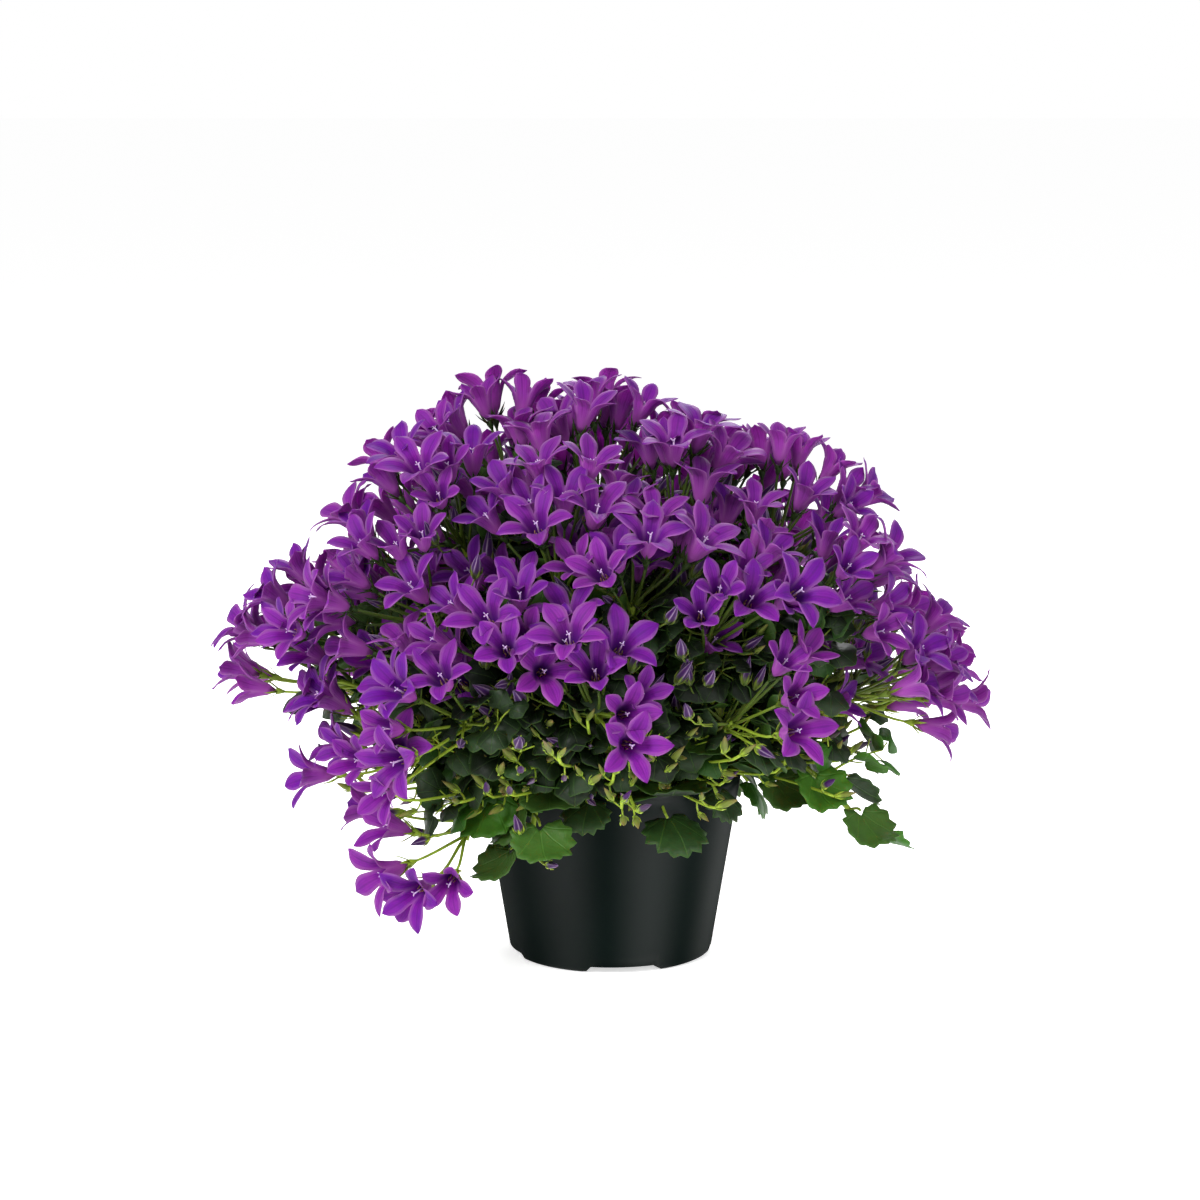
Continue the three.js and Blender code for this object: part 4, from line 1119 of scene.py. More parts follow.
def pistil_piece(colours):
    """In each bell a pale pistil with three curled stigma lobes, and five stamens round its foot."""
    surface = Surface()
    sizes = PLANT.sizes[:, None]
    paths = PLANT.in_bells(PISTIL_BEND * np.sin(PISTIL_RISE / 9), 0.0, PISTIL_RISE)
    surface.tubes(paths, PISTIL_RADII[None] * sizes, PISTIL_SIDES, along=lambda along: along, tone=0.0)
    for count, start, (out, up, radii), along, tone in MOUTH_PARTS:
        for part in range(count):
            angle = part * FULL_TURN / count + start
            paths = PLANT.in_bells(out * math.cos(angle), out * math.sin(angle), up)
            surface.tubes(paths, radii[None] * sizes, STAMEN_SIDES, along=along, tone=tone)
    piece = surface.piece("pistils_and_stamens", finishes(colours, "pistil"))


# Green parts

# Points and sides of a stem, how far under a bell's foot its pedicel ends, and how far limbs bow
STEM_POINTS = 18
STEM_SIDES = 8
PEDICEL_END = 4.0
LIMB_LIFT = 0.35
# Points, radii at the root and the end, and sides of each kind of limb
PEDICEL = (8, (0.85, 0.62), 5)
BUD_PEDICEL = (7, (0.7, 0.55), 6)
LEAF_STALK = (9, (0.8, 0.6), 6)
LEAF_STALK_ARRIVAL = 0.6
LEAF_STALK_TONE = 0.35
# Thin runners: how many, points along each, where they root, how far and high they reach, further to
# the left of the front, how they stray from the way out and drop at the end, and their room to bells
RUNNERS = 210
RUNNER_POINTS = 9
RUNNER_RADIUS = 0.7
RUNNER_SIDES = 5
RUNNER_ROOTS = (8, 42)
RUNNER_DEPTH = 4
RUNNER_STRAY = 0.5
RUNNER_REACH = (56, 116)
RUNNER_LEFTWARD = (0, 40)
RUNNER_HEIGHT = (98, 136)
RUNNER_DROP = 0.2
RUNNER_NEAR = 55
RUNNER_RISE = (-10, 50)
RUNNER_ROOM = 8


def stem_piece(colours):
    """Stems, the pedicels of blooms and buds and the stalks of leaves."""
    surface = Surface()
    sprays = np.repeat(np.arange(len(SPRAYS))[:, None], STEM_POINTS, 1)
    along = np.linspace(0, 1, STEM_POINTS)
    below = STEM_ROOTS[:, None] - STEM_DEPTH * UP
    paths = np.concatenate([below, stem_places(sprays, np.broadcast_to(along, sprays.shape))], 1)
    radii = np.append(STEM_RADIUS, mixed(STEM_RADIUS, STEM_TIP_RADIUS, along))
    # The stems' tone paints shade: darkest at the soil, lighter towards the fork
    surface.tubes(paths, radii, STEM_SIDES, tone=lambda share: 0.75 - 0.6 * share)
    add_pedicels(surface)
    # The runners' tone paints shade too, darker at their roots by the soil
    surface.tubes(runner_paths(), RUNNER_RADIUS, RUNNER_SIDES, tone=lambda share: 0.3 - 0.3 * share)
    piece = surface.piece("stems_and_pedicels", finishes(colours, "stem"))
    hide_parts(*["leafy_stem_" + name for name in SPRAY_NAMES])


def runner_paths():
    """Thin runners that rise from the soil between the stems and lean outwards, each to its own
    reach and height. Those that would end in a bell are left out."""
    rng = np.random.default_rng(RUNNER_SEED)
    each = (RUNNERS, 1)
    turn = rng.uniform(-math.pi, math.pi, RUNNERS)
    level = np.zeros(RUNNERS)
    roots = heading(turn, level) * rng.uniform(*RUNNER_ROOTS, each) + (STEM_FOOT_HEIGHT - RUNNER_DEPTH) * UP
    out = heading(turn + rng.uniform(-RUNNER_STRAY, RUNNER_STRAY, RUNNERS), level)
    leftward = np.maximum(-np.sin(turn), 0)[:, None]
    reach = rng.uniform(*RUNNER_REACH, each) + leftward * rng.uniform(*RUNNER_LEFTWARD, each)
    height = rng.uniform(*RUNNER_HEIGHT, each) - RUNNER_DROP * (reach - RUNNER_NEAR) * rng.uniform(0, 2, each)
    ends = out * reach + UP * height
    arrival = out * 20 + UP * rng.uniform(*RUNNER_RISE, each)
    paths = curve_points(roots, out * 25 + UP * 55, ends, arrival, RUNNER_POINTS)
    return paths[(PLANT.room(ends) > RUNNER_ROOM) & outside_pot(ends)]


def add_limbs(surface, roots, ends, lift, arrival, build, tone):
    """Gently bowed limbs: each leaves its root between the straight way and its lift, and comes to
    its end along its arrival, which is scaled by the distance between the two."""
    count, thickness, sides = build
    reach = np.linalg.norm(ends - roots, axis=1)[:, None]
    ways = unit(unit(ends - roots) + LIMB_LIFT * lift)
    paths = curve_points(roots, ways * reach, ends, arrival * reach, count)
    surface.tubes(paths, np.linspace(*thickness, count), sides, tone=tone)


def add_pedicels(surface):
    """Pedicels from the stem to each calyx and bud, and stalks to each leaf."""
    ends = PLANT.feet - PLANT.axes * PEDICEL_END * PLANT.sizes[:, None]
    read = len(ends) - len(PLANT.side_roots)
    roots = np.concatenate([pedicel_roots(ends[:read], PLANT.bell_spray[:read]), PLANT.side_roots])
    tones = stalk_shade(ends)[:, None]
    add_limbs(surface, roots, ends, STEM_AXES[PLANT.bell_spray], PLANT.axes, PEDICEL,
              lambda share: 0.15 * share + tones)
    ends = PLANT.bud_feet
    add_limbs(surface, pedicel_roots(ends, PLANT.bud_spray), ends, STEM_AXES[PLANT.bud_spray],
              PLANT.bud_axes, BUD_PEDICEL, 0.1 + stalk_shade(ends)[:, None])
    ends = PLANT.leaf_bases
    add_limbs(surface, stalk_roots(ends, PLANT.leaf_spray), ends, UP,
              PLANT.leaf_tips * LEAF_STALK_ARRIVAL, LEAF_STALK, LEAF_STALK_TONE)


# Thickness of a leaf's blade, then of a blade of size 1 its middle's place and radius, the stalk's
# sinus, the height of the teeth, the dome, the fold and the wave of its edge
LEAF_BLADE = 0.3
BLADE_MIDDLE = 0.34
BLADE_RADIUS = 0.52
BLADE_WIDENING = 0.06
SINUS_DEPTH = 0.45
SINUS_WIDTH = 0.34
TOOTH_HEIGHT = 0.16
TOOTH_UNEVENNESS = 0.35
BLADE_DOME = 0.26
BLADE_FOLD = 0.09
BLADE_WAVE = 0.035
# How far the draws bend a blade lengthwise and crosswise, and ripple it
BLADE_BEND = 0.10
BLADE_CUP = 0.14
BLADE_RIPPLE = 0.05
# Corners round a large leaf, its rings and its teeth, and the number of pieces they come in
LARGE_LEAF = (52, 3, 13)
RIM_LEAF = (52, 4, 13)
LEAF_PIECES = 6


def leaf_shape(around, rings, teeth):
    """Corners of a blade of size 1 from its stalk end, tip along +Y, and its faces.

    The outline is a circle round the middle with a sinus at the stalk and pointed teeth from a
    triangle wave; inner rings shrink it towards the middle. The blade is domed, folded a little
    along the midrib, and rises and falls along its edge."""
    angle = np.arange(around) / around * FULL_TURN - math.pi / 2
    from_stalk = (angle + math.pi / 2 + math.pi) % FULL_TURN - math.pi
    wave = np.abs((teeth * from_stalk / FULL_TURN) % 1 - 0.5) * 2
    tooth = (TOOTH_HEIGHT * (1 - wave) - TOOTH_HEIGHT / 2) * (1 + TOOTH_UNEVENNESS * np.sin(3.7 * angle))
    sinus = SINUS_DEPTH * np.exp(-(from_stalk / SINUS_WIDTH)**2)
    toothed = smoothstep(0.25, 0.6, np.abs(from_stalk))
    widening = 1 + BLADE_WIDENING * np.cos(2 * angle)
    outline = BLADE_RADIUS * widening * (1 - sinus) * (1 + tooth * toothed)
    share = ((np.arange(rings) + 1) / rings)[:, None] ** 0.85
    reach = share * outline
    x = reach * np.cos(angle)
    y = reach * np.sin(angle) + BLADE_MIDDLE
    z = 0.05 - BLADE_DOME * reach**2 / BLADE_RADIUS + BLADE_FOLD * np.abs(x)
    z = z + BLADE_WAVE * share**2 * np.sin(3 * angle + 0.6)
    corners = np.concatenate([np.stack([x, y, z], -1).reshape(-1, 3), [[0, BLADE_MIDDLE, 0.04]]])
    edge = np.append(np.broadcast_to(share, x.shape).ravel(), 0)
    faces = [strip_faces(rings, around, True)[:, ::-1], fan_faces(rings * around, np.arange(around))]
    return corners, faces, edge


def add_leaves(surface, bases, tips, normals, sizes, tones, cut, rng):
    """Copies of a blade with their own bend, at their places."""
    shape, faces, edge = leaf_shape(*cut)
    x, y = shape[:, 0], shape[:, 1]
    copies = len(bases)
    bend, cup, ripple = rng.uniform(-1, 1, (3, copies, 1))
    shapes = np.broadcast_to(shape, (copies, *shape.shape)).copy()
    shapes[..., 2] += BLADE_BEND * bend * y**2 + BLADE_CUP * cup * np.abs(x)
    shapes[..., 2] += BLADE_RIPPLE * ripple * np.sin(7 * x + 5 * y)
    corners = placed(shapes * sizes[:, None, None], bases, np.cross(tips, normals), normals)
    corners, faces, below = two_sided(corners, faces, LEAF_BLADE)
    surface.add(corners, faces, leaf_x=np.tile(x, 2)[None], leaf_y=np.tile(y, 2)[None],
                edge=np.tile(edge, 2)[None], below=below[None], tone=tones[:, None])


def leaf_pieces(colours):
    """The large leaves of the solids, in pieces of five sprays each."""
    rng = np.random.default_rng(LEAF_SEED)
    tones = leaf_light_and_shade(PLANT.leaf_bases + PLANT.leaf_tips * 12, rng)
    for group in range(LEAF_PIECES):
        chosen = PLANT.leaf_spray % LEAF_PIECES == group
        surface = Surface()
        add_leaves(surface, PLANT.leaf_bases[chosen], PLANT.leaf_tips[chosen], PLANT.leaf_normals[chosen],
                   PLANT.leaf_sizes[chosen], tones[chosen], LARGE_LEAF, rng)
        piece = surface.piece("leaves_%d" % (group + 1), finishes(colours, "leaf"))


# Leaves that hang over the rim: turn, size and the height of the stalk's end
RIM_LEAVES = np.array([
    (23, 27, 76), (48, 19, 84), (-9, 20, 84), (-33, 18, 86), (-55, 18, 84), (79, 22, 82), (103, 20, 84),
    (131, 26, 78), (158, 21, 84), (-172, 25, 80), (-147, 20, 85), (-118, 26, 78), (-86, 21, 84),
], float)
# Their distance from the rim, tilt and tones, and where their stalks root
RIM_LEAF_GAP = 3.0
RIM_LEAF_TILT = 0.75
RIM_LEAF_STRAY = 0.3
RIM_LEAF_TONES = (0.15, 0.6)
RIM_STALK_ROOT = 34
RIM_STALK_RISE = 2.0
RIM_STALK_RADIUS = 0.7


def rim_leaf_piece(colours):
    """Leaves on long stalks that bow over the rim and hang before the wall."""
    rng = np.random.default_rng(RIM_LEAF_SEED)
    turn = np.radians(RIM_LEAVES[:, 0])
    out = heading(turn, np.zeros_like(turn))
    bases = out * (RIM_RADIUS + RIM_LEAF_GAP) + UP * RIM_LEAVES[:, 2:]
    strays = rng.uniform(-RIM_LEAF_STRAY, RIM_LEAF_STRAY, bases.shape)
    tips = unit(RIM_LEAF_TILT * out - RIM_LEAF_TILT * UP + strays)
    normals = flattened(out * 0.6 + 0.8 * UP, tips)
    surface = Surface()
    tones = rng.uniform(*RIM_LEAF_TONES, len(bases))
    add_leaves(surface, bases, tips, normals, RIM_LEAVES[:, 1], tones, RIM_LEAF, rng)
    roots = out * RIM_STALK_ROOT + (POT_HEIGHT + RIM_STALK_RISE) * UP
    paths = curve_points(roots, out * 30 + 22.0 * UP, bases, tips * 24, 10)
    surface.tubes(paths, RIM_STALK_RADIUS, 6, slot=1, tone=0.2)
    piece = surface.piece("rim_leaves", finishes(colours, "leaf", "stem"))


# Small parts round the stems: what share of them the trailing stems bear, on the right and on the
# left, how far below its root a part may hang, and how far it keeps from the pot
TRAILING_SHARE = 0.12
TRAILING_SHARE_LEFT = 0.9
DROOP = 8.0
POT_CLEARANCE = (3, 4, 5, 6)
# Leafy shoots: a stem's number, the stretch of stem, shortest, longest, size of a leaf
SHOOTS = (
    (2, 0.1, 0.5, 24, 44, 25),
    (5, 0.4, 0.85, 20, 38, 21),
    (6, 0.7, 1.0, 12, 36, 18),
)
SHOOT_ROOM = 8.0
SHOOT_POINTS = 9
SHOOT_BARE = 3
SHOOT_TURN = 2.4
SHOOT_LEAF_ROOM = 6
STALK_RADIUS = 0.4
# From this size a shoot's leaf has the finer cut
FINE_LEAF_SIZE = 25
FINE_LEAF = (24, 2, 6)
PLAIN_LEAF = (20, 1, 5)
SHOOT_RADII = (0.8, 0.4)
# The space before a bell's mouth that stays clear: from, to, and how wide
MOUTH_VIEW = (4, 40, 14)
# Painted shade of stalks: the least tone, the most that is added up in the dome where shade falls, and the
# heights between which it is added
STALK_SHADE_TONE = (0.05, 0.75)
STALK_SHADE_HEIGHTS = (108, 150)
# Painted light and shade of leaves: the shade that depth adds, the tone that the lit rim takes away, the
# strays, the distances from the crown between which the depth ends, and the radii and heights of the rim's
# bright band of painted light
LEAF_DEPTH_SHADE = 0.5
LEAF_RIM_LIGHT = 0.55
LEAF_TONE_STRAY = 0.35
LEAF_DISTANCES = (95, 150)
BRIGHT_RADII = (42, 70)
BRIGHT_HEIGHTS = (92, 135)


def side_shoots(rng, each, low, high, least, most, room, steepest=90):
    """Places round the stems for small parts: roots on the stems, their ends at a distance away and
    the stems' directions there. Ends too near a bell are left out."""
    sprays = np.repeat(np.arange(len(SPRAYS)), each)
    share = np.where(SPRAYS[sprays, 0] < 0, TRAILING_SHARE_LEFT, TRAILING_SHARE)
    sprays = sprays[(SPRAYS[sprays, 1] > 0) | (rng.uniform(0, 1, len(sprays)) < share)]
    sprays = sprays[SPRAYS[sprays, 1] < steepest]
    copies = len(sprays)
    along = rng.uniform(low, high, copies)
    roots = stem_places(sprays, along)
    ways = stem_ways(sprays, along)
    first, second = cross_axes(ways)
    angle = rng.uniform(0, FULL_TURN, copies)[:, None]
    out = first * np.cos(angle) + second * np.sin(angle)
    ends = roots + (out + 0.4 * ways) * rng.uniform(least, most, copies)[:, None]
    kept = (PLANT.room(ends) > room) & outside_pot(ends) & (ends[:, 2] > roots[:, 2] - DROOP)
    return roots[kept], ends[kept], ways[kept]


def outside_pot(places):
    """True for places above the rim, or clear of the pot's wall and not in front of it."""
    front_depth, front_side, depth, side = POT_CLEARANCE
    radius = np.hypot(places[:, 0], places[:, 1])
    before = (places[:, 1] < 0) & (np.abs(places[:, 0]) < RIM_RADIUS + front_side)
    low = np.where(before & (radius > RIM_RADIUS), POT_HEIGHT - front_depth, POT_HEIGHT + depth)
    return (places[:, 2] > low) | ((radius > RIM_RADIUS + side) & ~before)


def beside_mouths(places):
    """True for places that stand in front of no bell's mouth."""
    near, far, wide = MOUTH_VIEW
    away = places[:, None] - PLANT.feet[None]
    ahead = np.sum(away * PLANT.axes[None], -1)
    aside = np.linalg.norm(away - ahead[..., None] * PLANT.axes[None], axis=-1)
    return ~((ahead > near) & (ahead < far) & (aside < wide)).any(1)


def stalk_shade(places):
    """Painted shade: 0 for the bright stalks near the rim, more for those up in the dome, where shade falls.
    """
    return STALK_SHADE_TONE[0] + STALK_SHADE_TONE[1] * smoothstep(*STALK_SHADE_HEIGHTS, places[:, 2])


def leaf_light_and_shade(places, rng):
    """Painted light and shade: 0 for bright leaves at the rim and at the ends of stems, 1 for dark ones deep
    inside where shade falls, with a random stray.
    """
    depth = 1 - smoothstep(*LEAF_DISTANCES, np.linalg.norm(places - CROWN, axis=1))
    radius = np.hypot(places[:, 0], places[:, 1])
    rim = smoothstep(*BRIGHT_RADII, radius) * (1 - smoothstep(*BRIGHT_HEIGHTS, places[:, 2]))
    strays = rng.uniform(-LEAF_TONE_STRAY, LEAF_TONE_STRAY, len(places))
    return np.clip(0.5 + LEAF_DEPTH_SHADE * depth - LEAF_RIM_LIGHT * rim + strays, 0, 1)


def leafy_shoot_pieces(colours):
    """Leafy side shoots that fill the dome under the blooms: each bows out and up from a stem and
    bears small leaves in turn on short stalks, the smaller the nearer to its end."""
    rng = np.random.default_rng(SHOOT_SEED)
    for part, (*stretch, leaf_size) in enumerate(SHOOTS):
        roots, ends, ways = side_shoots(rng, *stretch, SHOOT_ROOM)
        reach = np.linalg.norm(ends - roots, axis=1)[:, None]
        out = unit(ends - roots)
        arrival = unit(out + 0.8 * ways + 0.4 * UP) * reach
        lines = curve_points(roots, unit(out - 0.3 * ways) * reach, ends, arrival, SHOOT_POINTS)
        surface = Surface()
        surface.tubes(lines, np.linspace(*SHOOT_RADII, SHOOT_POINTS), 5, slot=1,
                      tone=stalk_shade(ends)[:, None])
        for step in range(SHOOT_BARE, SHOOT_POINTS):
            ahead = unit(lines[:, step] - lines[:, step - 1])
            add_shoot_leaves(surface, lines[:, step], ahead, step, leaf_size, rng)
        piece = surface.piece("leafy_shoots_%d" % (part + 1), finishes(colours, "leaf", "stem"))


def add_shoot_leaves(surface, roots, ways, step, leaf_size, rng):
    """One leaf on each shoot at a step of its line, turned by the golden angle from the last."""
    copies = len(roots)
    first, second = cross_axes(ways)
    angle = (step * SHOOT_TURN + rng.uniform(-0.4, 0.4, copies))[:, None]
    out = unit(first * np.cos(angle) + second * np.sin(angle) + 0.5 * ways)
    sizes = leaf_size * (1.15 - 0.07 * step) * rng.uniform(0.8, 1.2, copies)
    bases = roots + out * (sizes * 0.55)[:, None]
    middles = bases + out * (sizes * 0.35)[:, None]
    kept = beside_mouths(middles) & outside_pot(middles) & (PLANT.room(middles) > SHOOT_LEAF_ROOM)
    out, sizes, bases, roots, ways = out[kept], sizes[kept], bases[kept], roots[kept], ways[kept]
    tips = unit(out + rng.uniform(-0.4, 0.4, out.shape) - 0.15 * UP)
    upward = unit(bases - 40.0 * UP) + 0.5 * ways + 0.5 * UP
    normals = flattened(upward + rng.uniform(-0.4, 0.4, out.shape), tips)
    cut = PLAIN_LEAF if leaf_size < FINE_LEAF_SIZE else FINE_LEAF
    add_leaves(surface, bases, tips, normals, sizes, leaf_light_and_shade(bases, rng), cut, rng)
    paths = curve_points(roots, out * sizes[:, None] * 0.5, bases, tips * sizes[:, None] * 0.4, 3)
    surface.tubes(paths, STALK_RADIUS, 3, slot=1, tone=stalk_shade(roots)[:, None])


# Buds of length 1: the pleats' twist and depth, the belly's radius, and a sepal's path and widths
PLEAT_TWIST = 0.6
PLEAT_DEPTH = 0.25
BUD_BELLY = 0.15
BUD_SEPAL_OUT = (0.06, 0.14)
BUD_SEPAL_UP = (0.02, 0.45)
BUD_SEPAL_WIDTHS = np.array([0.06, 0.06, 0.005])
BUD_SEPAL_FLATNESS = 0.4
# The solids' buds: how much longer they are, and rows, sides and sepals
OWN_BUD_LENGTH = 1.1
OWN_BUD = (8, 10, FIVE)
# Further buds: a stem's number, the stretch of stem, least and most distance, room to a bell and the
# steepest stem; then shortest, longest, palest and ripest; then rows and sides of a bud, its sepals
EXTRA_BUDS = (
    ((6, 0.75, 1.0, 18, 40, 6.0, 90), (13, 19), (0.6, 1.0), (8, 10, 5)),
    ((6, 0.5, 1.0, 8, 30, 4.0, 90), (5, 9), (0.0, 0.3), (5, 6, 3)),
    ((8, 0.4, 0.9, 14, 32, 4.5, 47), (9, 15), (0.2, 0.6), (7, 10, 5)),
)
BUD_STALK_RADIUS = 0.5
# Buds at the ends of the runners: how many on each, how far from it, and their lengths and tones
RUNNER_BUDS = 3
RUNNER_BUD_STALKS = 5.0
RUNNER_BUD_LENGTHS = (7, 13)
RUNNER_BUD_TONES = (0, 0.55)
RUNNER_BUD = (5, 6, 3)
GOLDEN_ANGLE = math.radians(137.5)


def add_buds(surface, feet, axes, lengths, tones, rows, sides, sepals):
    """Closed buds: a spindle whose radius swells and closes, with five twisted pleats, in a cup of
    narrow sepals."""
    t = np.linspace(0, 1, rows)
    swell = np.sin(math.pi * np.clip(t, 0.02, 1)**0.8)**0.9
    radius = swell * (1 - 0.2 * t) * BUD_BELLY + 0.02 * (1 - t)
    angle = np.arange(sides) / sides * FULL_TURN + PLEAT_TWIST * t[:, None]
    pleat = np.broadcast_to(0.5 + 0.5 * np.cos(FIVE * angle[:1]), angle.shape)
    wide = radius[:, None] * (0.8 + PLEAT_DEPTH * pleat)
    height = np.broadcast_to(t[:, None], wide.shape)
    shape = np.stack([wide * np.cos(angle), wide * np.sin(angle), height], -1)
    shape = np.concatenate([shape.reshape(-1, 3), [[0, 0, 0], [0, 0, 1.0]]])
    firsts, seconds = cross_axes(axes)
    corners = placed(shape[None] * lengths[:, None, None], feet, firsts, axes)
    ring, end = np.arange(sides), rows * sides
    ends = [fan_faces(end, ring, back=True), fan_faces(end + 1, ring + end - sides)]
    shade = stalk_shade(feet)[:, None]
    surface.add(corners, [strip_faces(rows, sides, True), *ends],
                along=np.append(np.repeat(t, sides), [0, 1])[None],
                across=np.append(pleat.ravel(), [0.5, 0.5])[None], tone=tones[:, None], shade=shade)
    steps = np.linspace(0, 1, SEPAL_POINTS)
    for lobe in range(sepals):
        turn = lobe * FULL_TURN / sepals
        out = BUD_SEPAL_OUT[0] + BUD_SEPAL_OUT[1] * np.sin(math.pi * 0.6 * steps)
        up = BUD_SEPAL_UP[0] + BUD_SEPAL_UP[1] * steps
        line = np.stack([out * math.cos(turn), out * math.sin(turn), up], -1)
        paths = placed(line[None] * lengths[:, None, None], feet, firsts, axes)
        facing = -math.sin(turn) * firsts + math.cos(turn) * seconds
        surface.tubes(paths, BUD_SEPAL_WIDTHS[None] * lengths[:, None], SEPAL_SIDES,
                      flat=BUD_SEPAL_FLATNESS, facing=facing, shade=shade)


def add_bud_stalks(surface, paths):
    """Thin green stalks to buds at the ends of the paths."""
    surface.tubes(paths, BUD_STALK_RADIUS, 3, shade=stalk_shade(paths[:, -1])[:, None])


def bud_piece(colours):
    """The buds of the solids, further violet buds between the blooms and small green ones."""
    surface = Surface()
    rng = np.random.default_rng(BUD_SEED)
    add_buds(surface, PLANT.bud_feet, PLANT.bud_axes, PLANT.bud_lengths * OWN_BUD_LENGTH,
             rng.uniform(0.6, 1.0, len(PLANT.bud_feet)), *OWN_BUD)
    for stretch, length, ripeness, cut in EXTRA_BUDS:
        roots, feet, ways = side_shoots(rng, *stretch)
        axes = unit(unit(feet - roots) + 0.6 * ways + 0.5 * UP)
        lengths = rng.uniform(*length, len(feet))
        add_buds(surface, feet, axes, lengths, rng.uniform(*ripeness, len(feet)), *cut)
        reach = np.linalg.norm(feet - roots, axis=1)[:, None]
        add_bud_stalks(surface, curve_points(roots, unit(feet - roots + ways) * reach, feet, axes * reach, 5))
    paths = runner_paths()
    first, second = cross_axes(unit(paths[:, -1] - paths[:, -2]))
    for place in range(RUNNER_BUDS):
        roots, before = paths[:, -1 - place], paths[:, -2 - place]
        angle = place * GOLDEN_ANGLE
        side = first * math.cos(angle) + second * math.sin(angle) * (place > 0)
        feet = roots + side * (RUNNER_BUD_STALKS if place else 0.1)
        axes = unit(side + 1.5 * unit(roots - before) + 0.6 * UP)
        lengths = rng.uniform(*RUNNER_BUD_LENGTHS, len(feet))
        add_buds(surface, feet, axes, lengths, rng.uniform(*RUNNER_BUD_TONES, len(feet)), *RUNNER_BUD)
        add_bud_stalks(surface, curve_points(roots, side * RUNNER_BUD_STALKS, feet,
                                             axes * RUNNER_BUD_STALKS, 3))
    piece = surface.piece("buds", finishes(colours, "bud"))


# Pot and soil

# The rounded lip and heel, the steps of the profile, and the gaps between the feet in degrees
LIP = 1.0
LIP_SWELL = 1.2
HEEL_STEPS = 5
WALL_STEPS = 12
LIP_STEPS = 7
HEEL_OUT = 1.7
FLOOR_RING = 20.0
INNER_STEPS = (0.1, 0.3, 1.0)
FOOT_GAP = 3.1
FOOT_GAP_TURN = 82
FOOT_GAP_HALF = (20.0, 23.0)
QUARTER = 90
POT_SIDES = 128
# The soil: its grid, its clearance, the height and width of its foot, its lumps and its dip at the wall
SOIL_RINGS = 26
SOIL_SIDES = 96
SOIL_CLEARANCE = 0.3
SOIL_FLOOR = 5.0
SOIL_TAPER = 0.8
LUMP_HEIGHT = 0.5
SOIL_DIP = 0.6


def pot_profile():
    """Radius and height of each ring: from the middle of the underside out over the foot, round the
    heel, up the wall, over the lip, down inside and back to the middle of the floor."""
    share = np.linspace(0, 1, WALL_STEPS)[1:]
    top = POT_HEIGHT - LIP
    half = WALL / 2
    rows = [(0.0, FOOT_HEIGHT), (FLOOR_RING, FOOT_HEIGHT), (FOOT_INNER_RADIUS - 0.5, FOOT_HEIGHT),
            (FOOT_INNER_RADIUS, 0.0), (FOOT_OUTER_RADIUS - 0.6, 0.0), (FOOT_OUTER_RADIUS + 0.3, 0.2)]
    rows += [(FOOT_OUTER_RADIUS + 0.6 + HEEL_OUT * math.sin(a), 0.5 + (HEEL_HEIGHT - 0.6) * (1 - math.cos(a)))
             for a in np.linspace(0, math.pi / 2, HEEL_STEPS)[1:]]
    rows += zip(mixed(HEEL_RADIUS, RIM_RADIUS, share), mixed(HEEL_HEIGHT, top, share))
    rows += [(RIM_RADIUS - half + half * math.cos(a), top + half * math.sin(a) * LIP_SWELL)
             for a in np.linspace(0, math.pi, LIP_STEPS)]
    rows += [(mixed(RIM_RADIUS, HEEL_RADIUS, s) - WALL, mixed(top, FOOT_HEIGHT + FLOOR, s))
             for s in INNER_STEPS]
    return np.array(rows + [(0.0, FOOT_HEIGHT + FLOOR)])


def pot_piece(colours):
    """The pot as a profile turned round the axis, with a rounded rim and heel, a thin wall and a
    floor. Between the four feet the bottom ring rises to the floor's underside."""
    profile = pot_profile()
    radius, height = profile[:, :1], profile[:, 1:]
    turn = np.arange(POT_SIDES) / POT_SIDES * FULL_TURN
    gap = np.abs((np.degrees(turn) + FOOT_GAP_TURN + QUARTER / 2) % QUARTER - QUARTER / 2)
    cut = 1 - smoothstep(*FOOT_GAP_HALF, gap)
    low = (radius > FOOT_INNER_RADIUS - 0.4) & (height < FOOT_GAP)
    height = np.where(low, np.maximum(height, cut[None] * FOOT_GAP), height)
    corners = np.stack([radius * np.cos(turn), radius * np.sin(turn), height], -1)
    surface = Surface()
    surface.add(corners.reshape(1, -1, 3), [strip_faces(len(profile), POT_SIDES, True)],
                wall_x=np.tile(np.cos(turn), len(profile))[None],
                wall_y=np.tile(-np.sin(turn), len(profile))[None])
    piece = surface.piece("nursery_pot", finishes(colours, "pot"))
    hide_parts("pot")


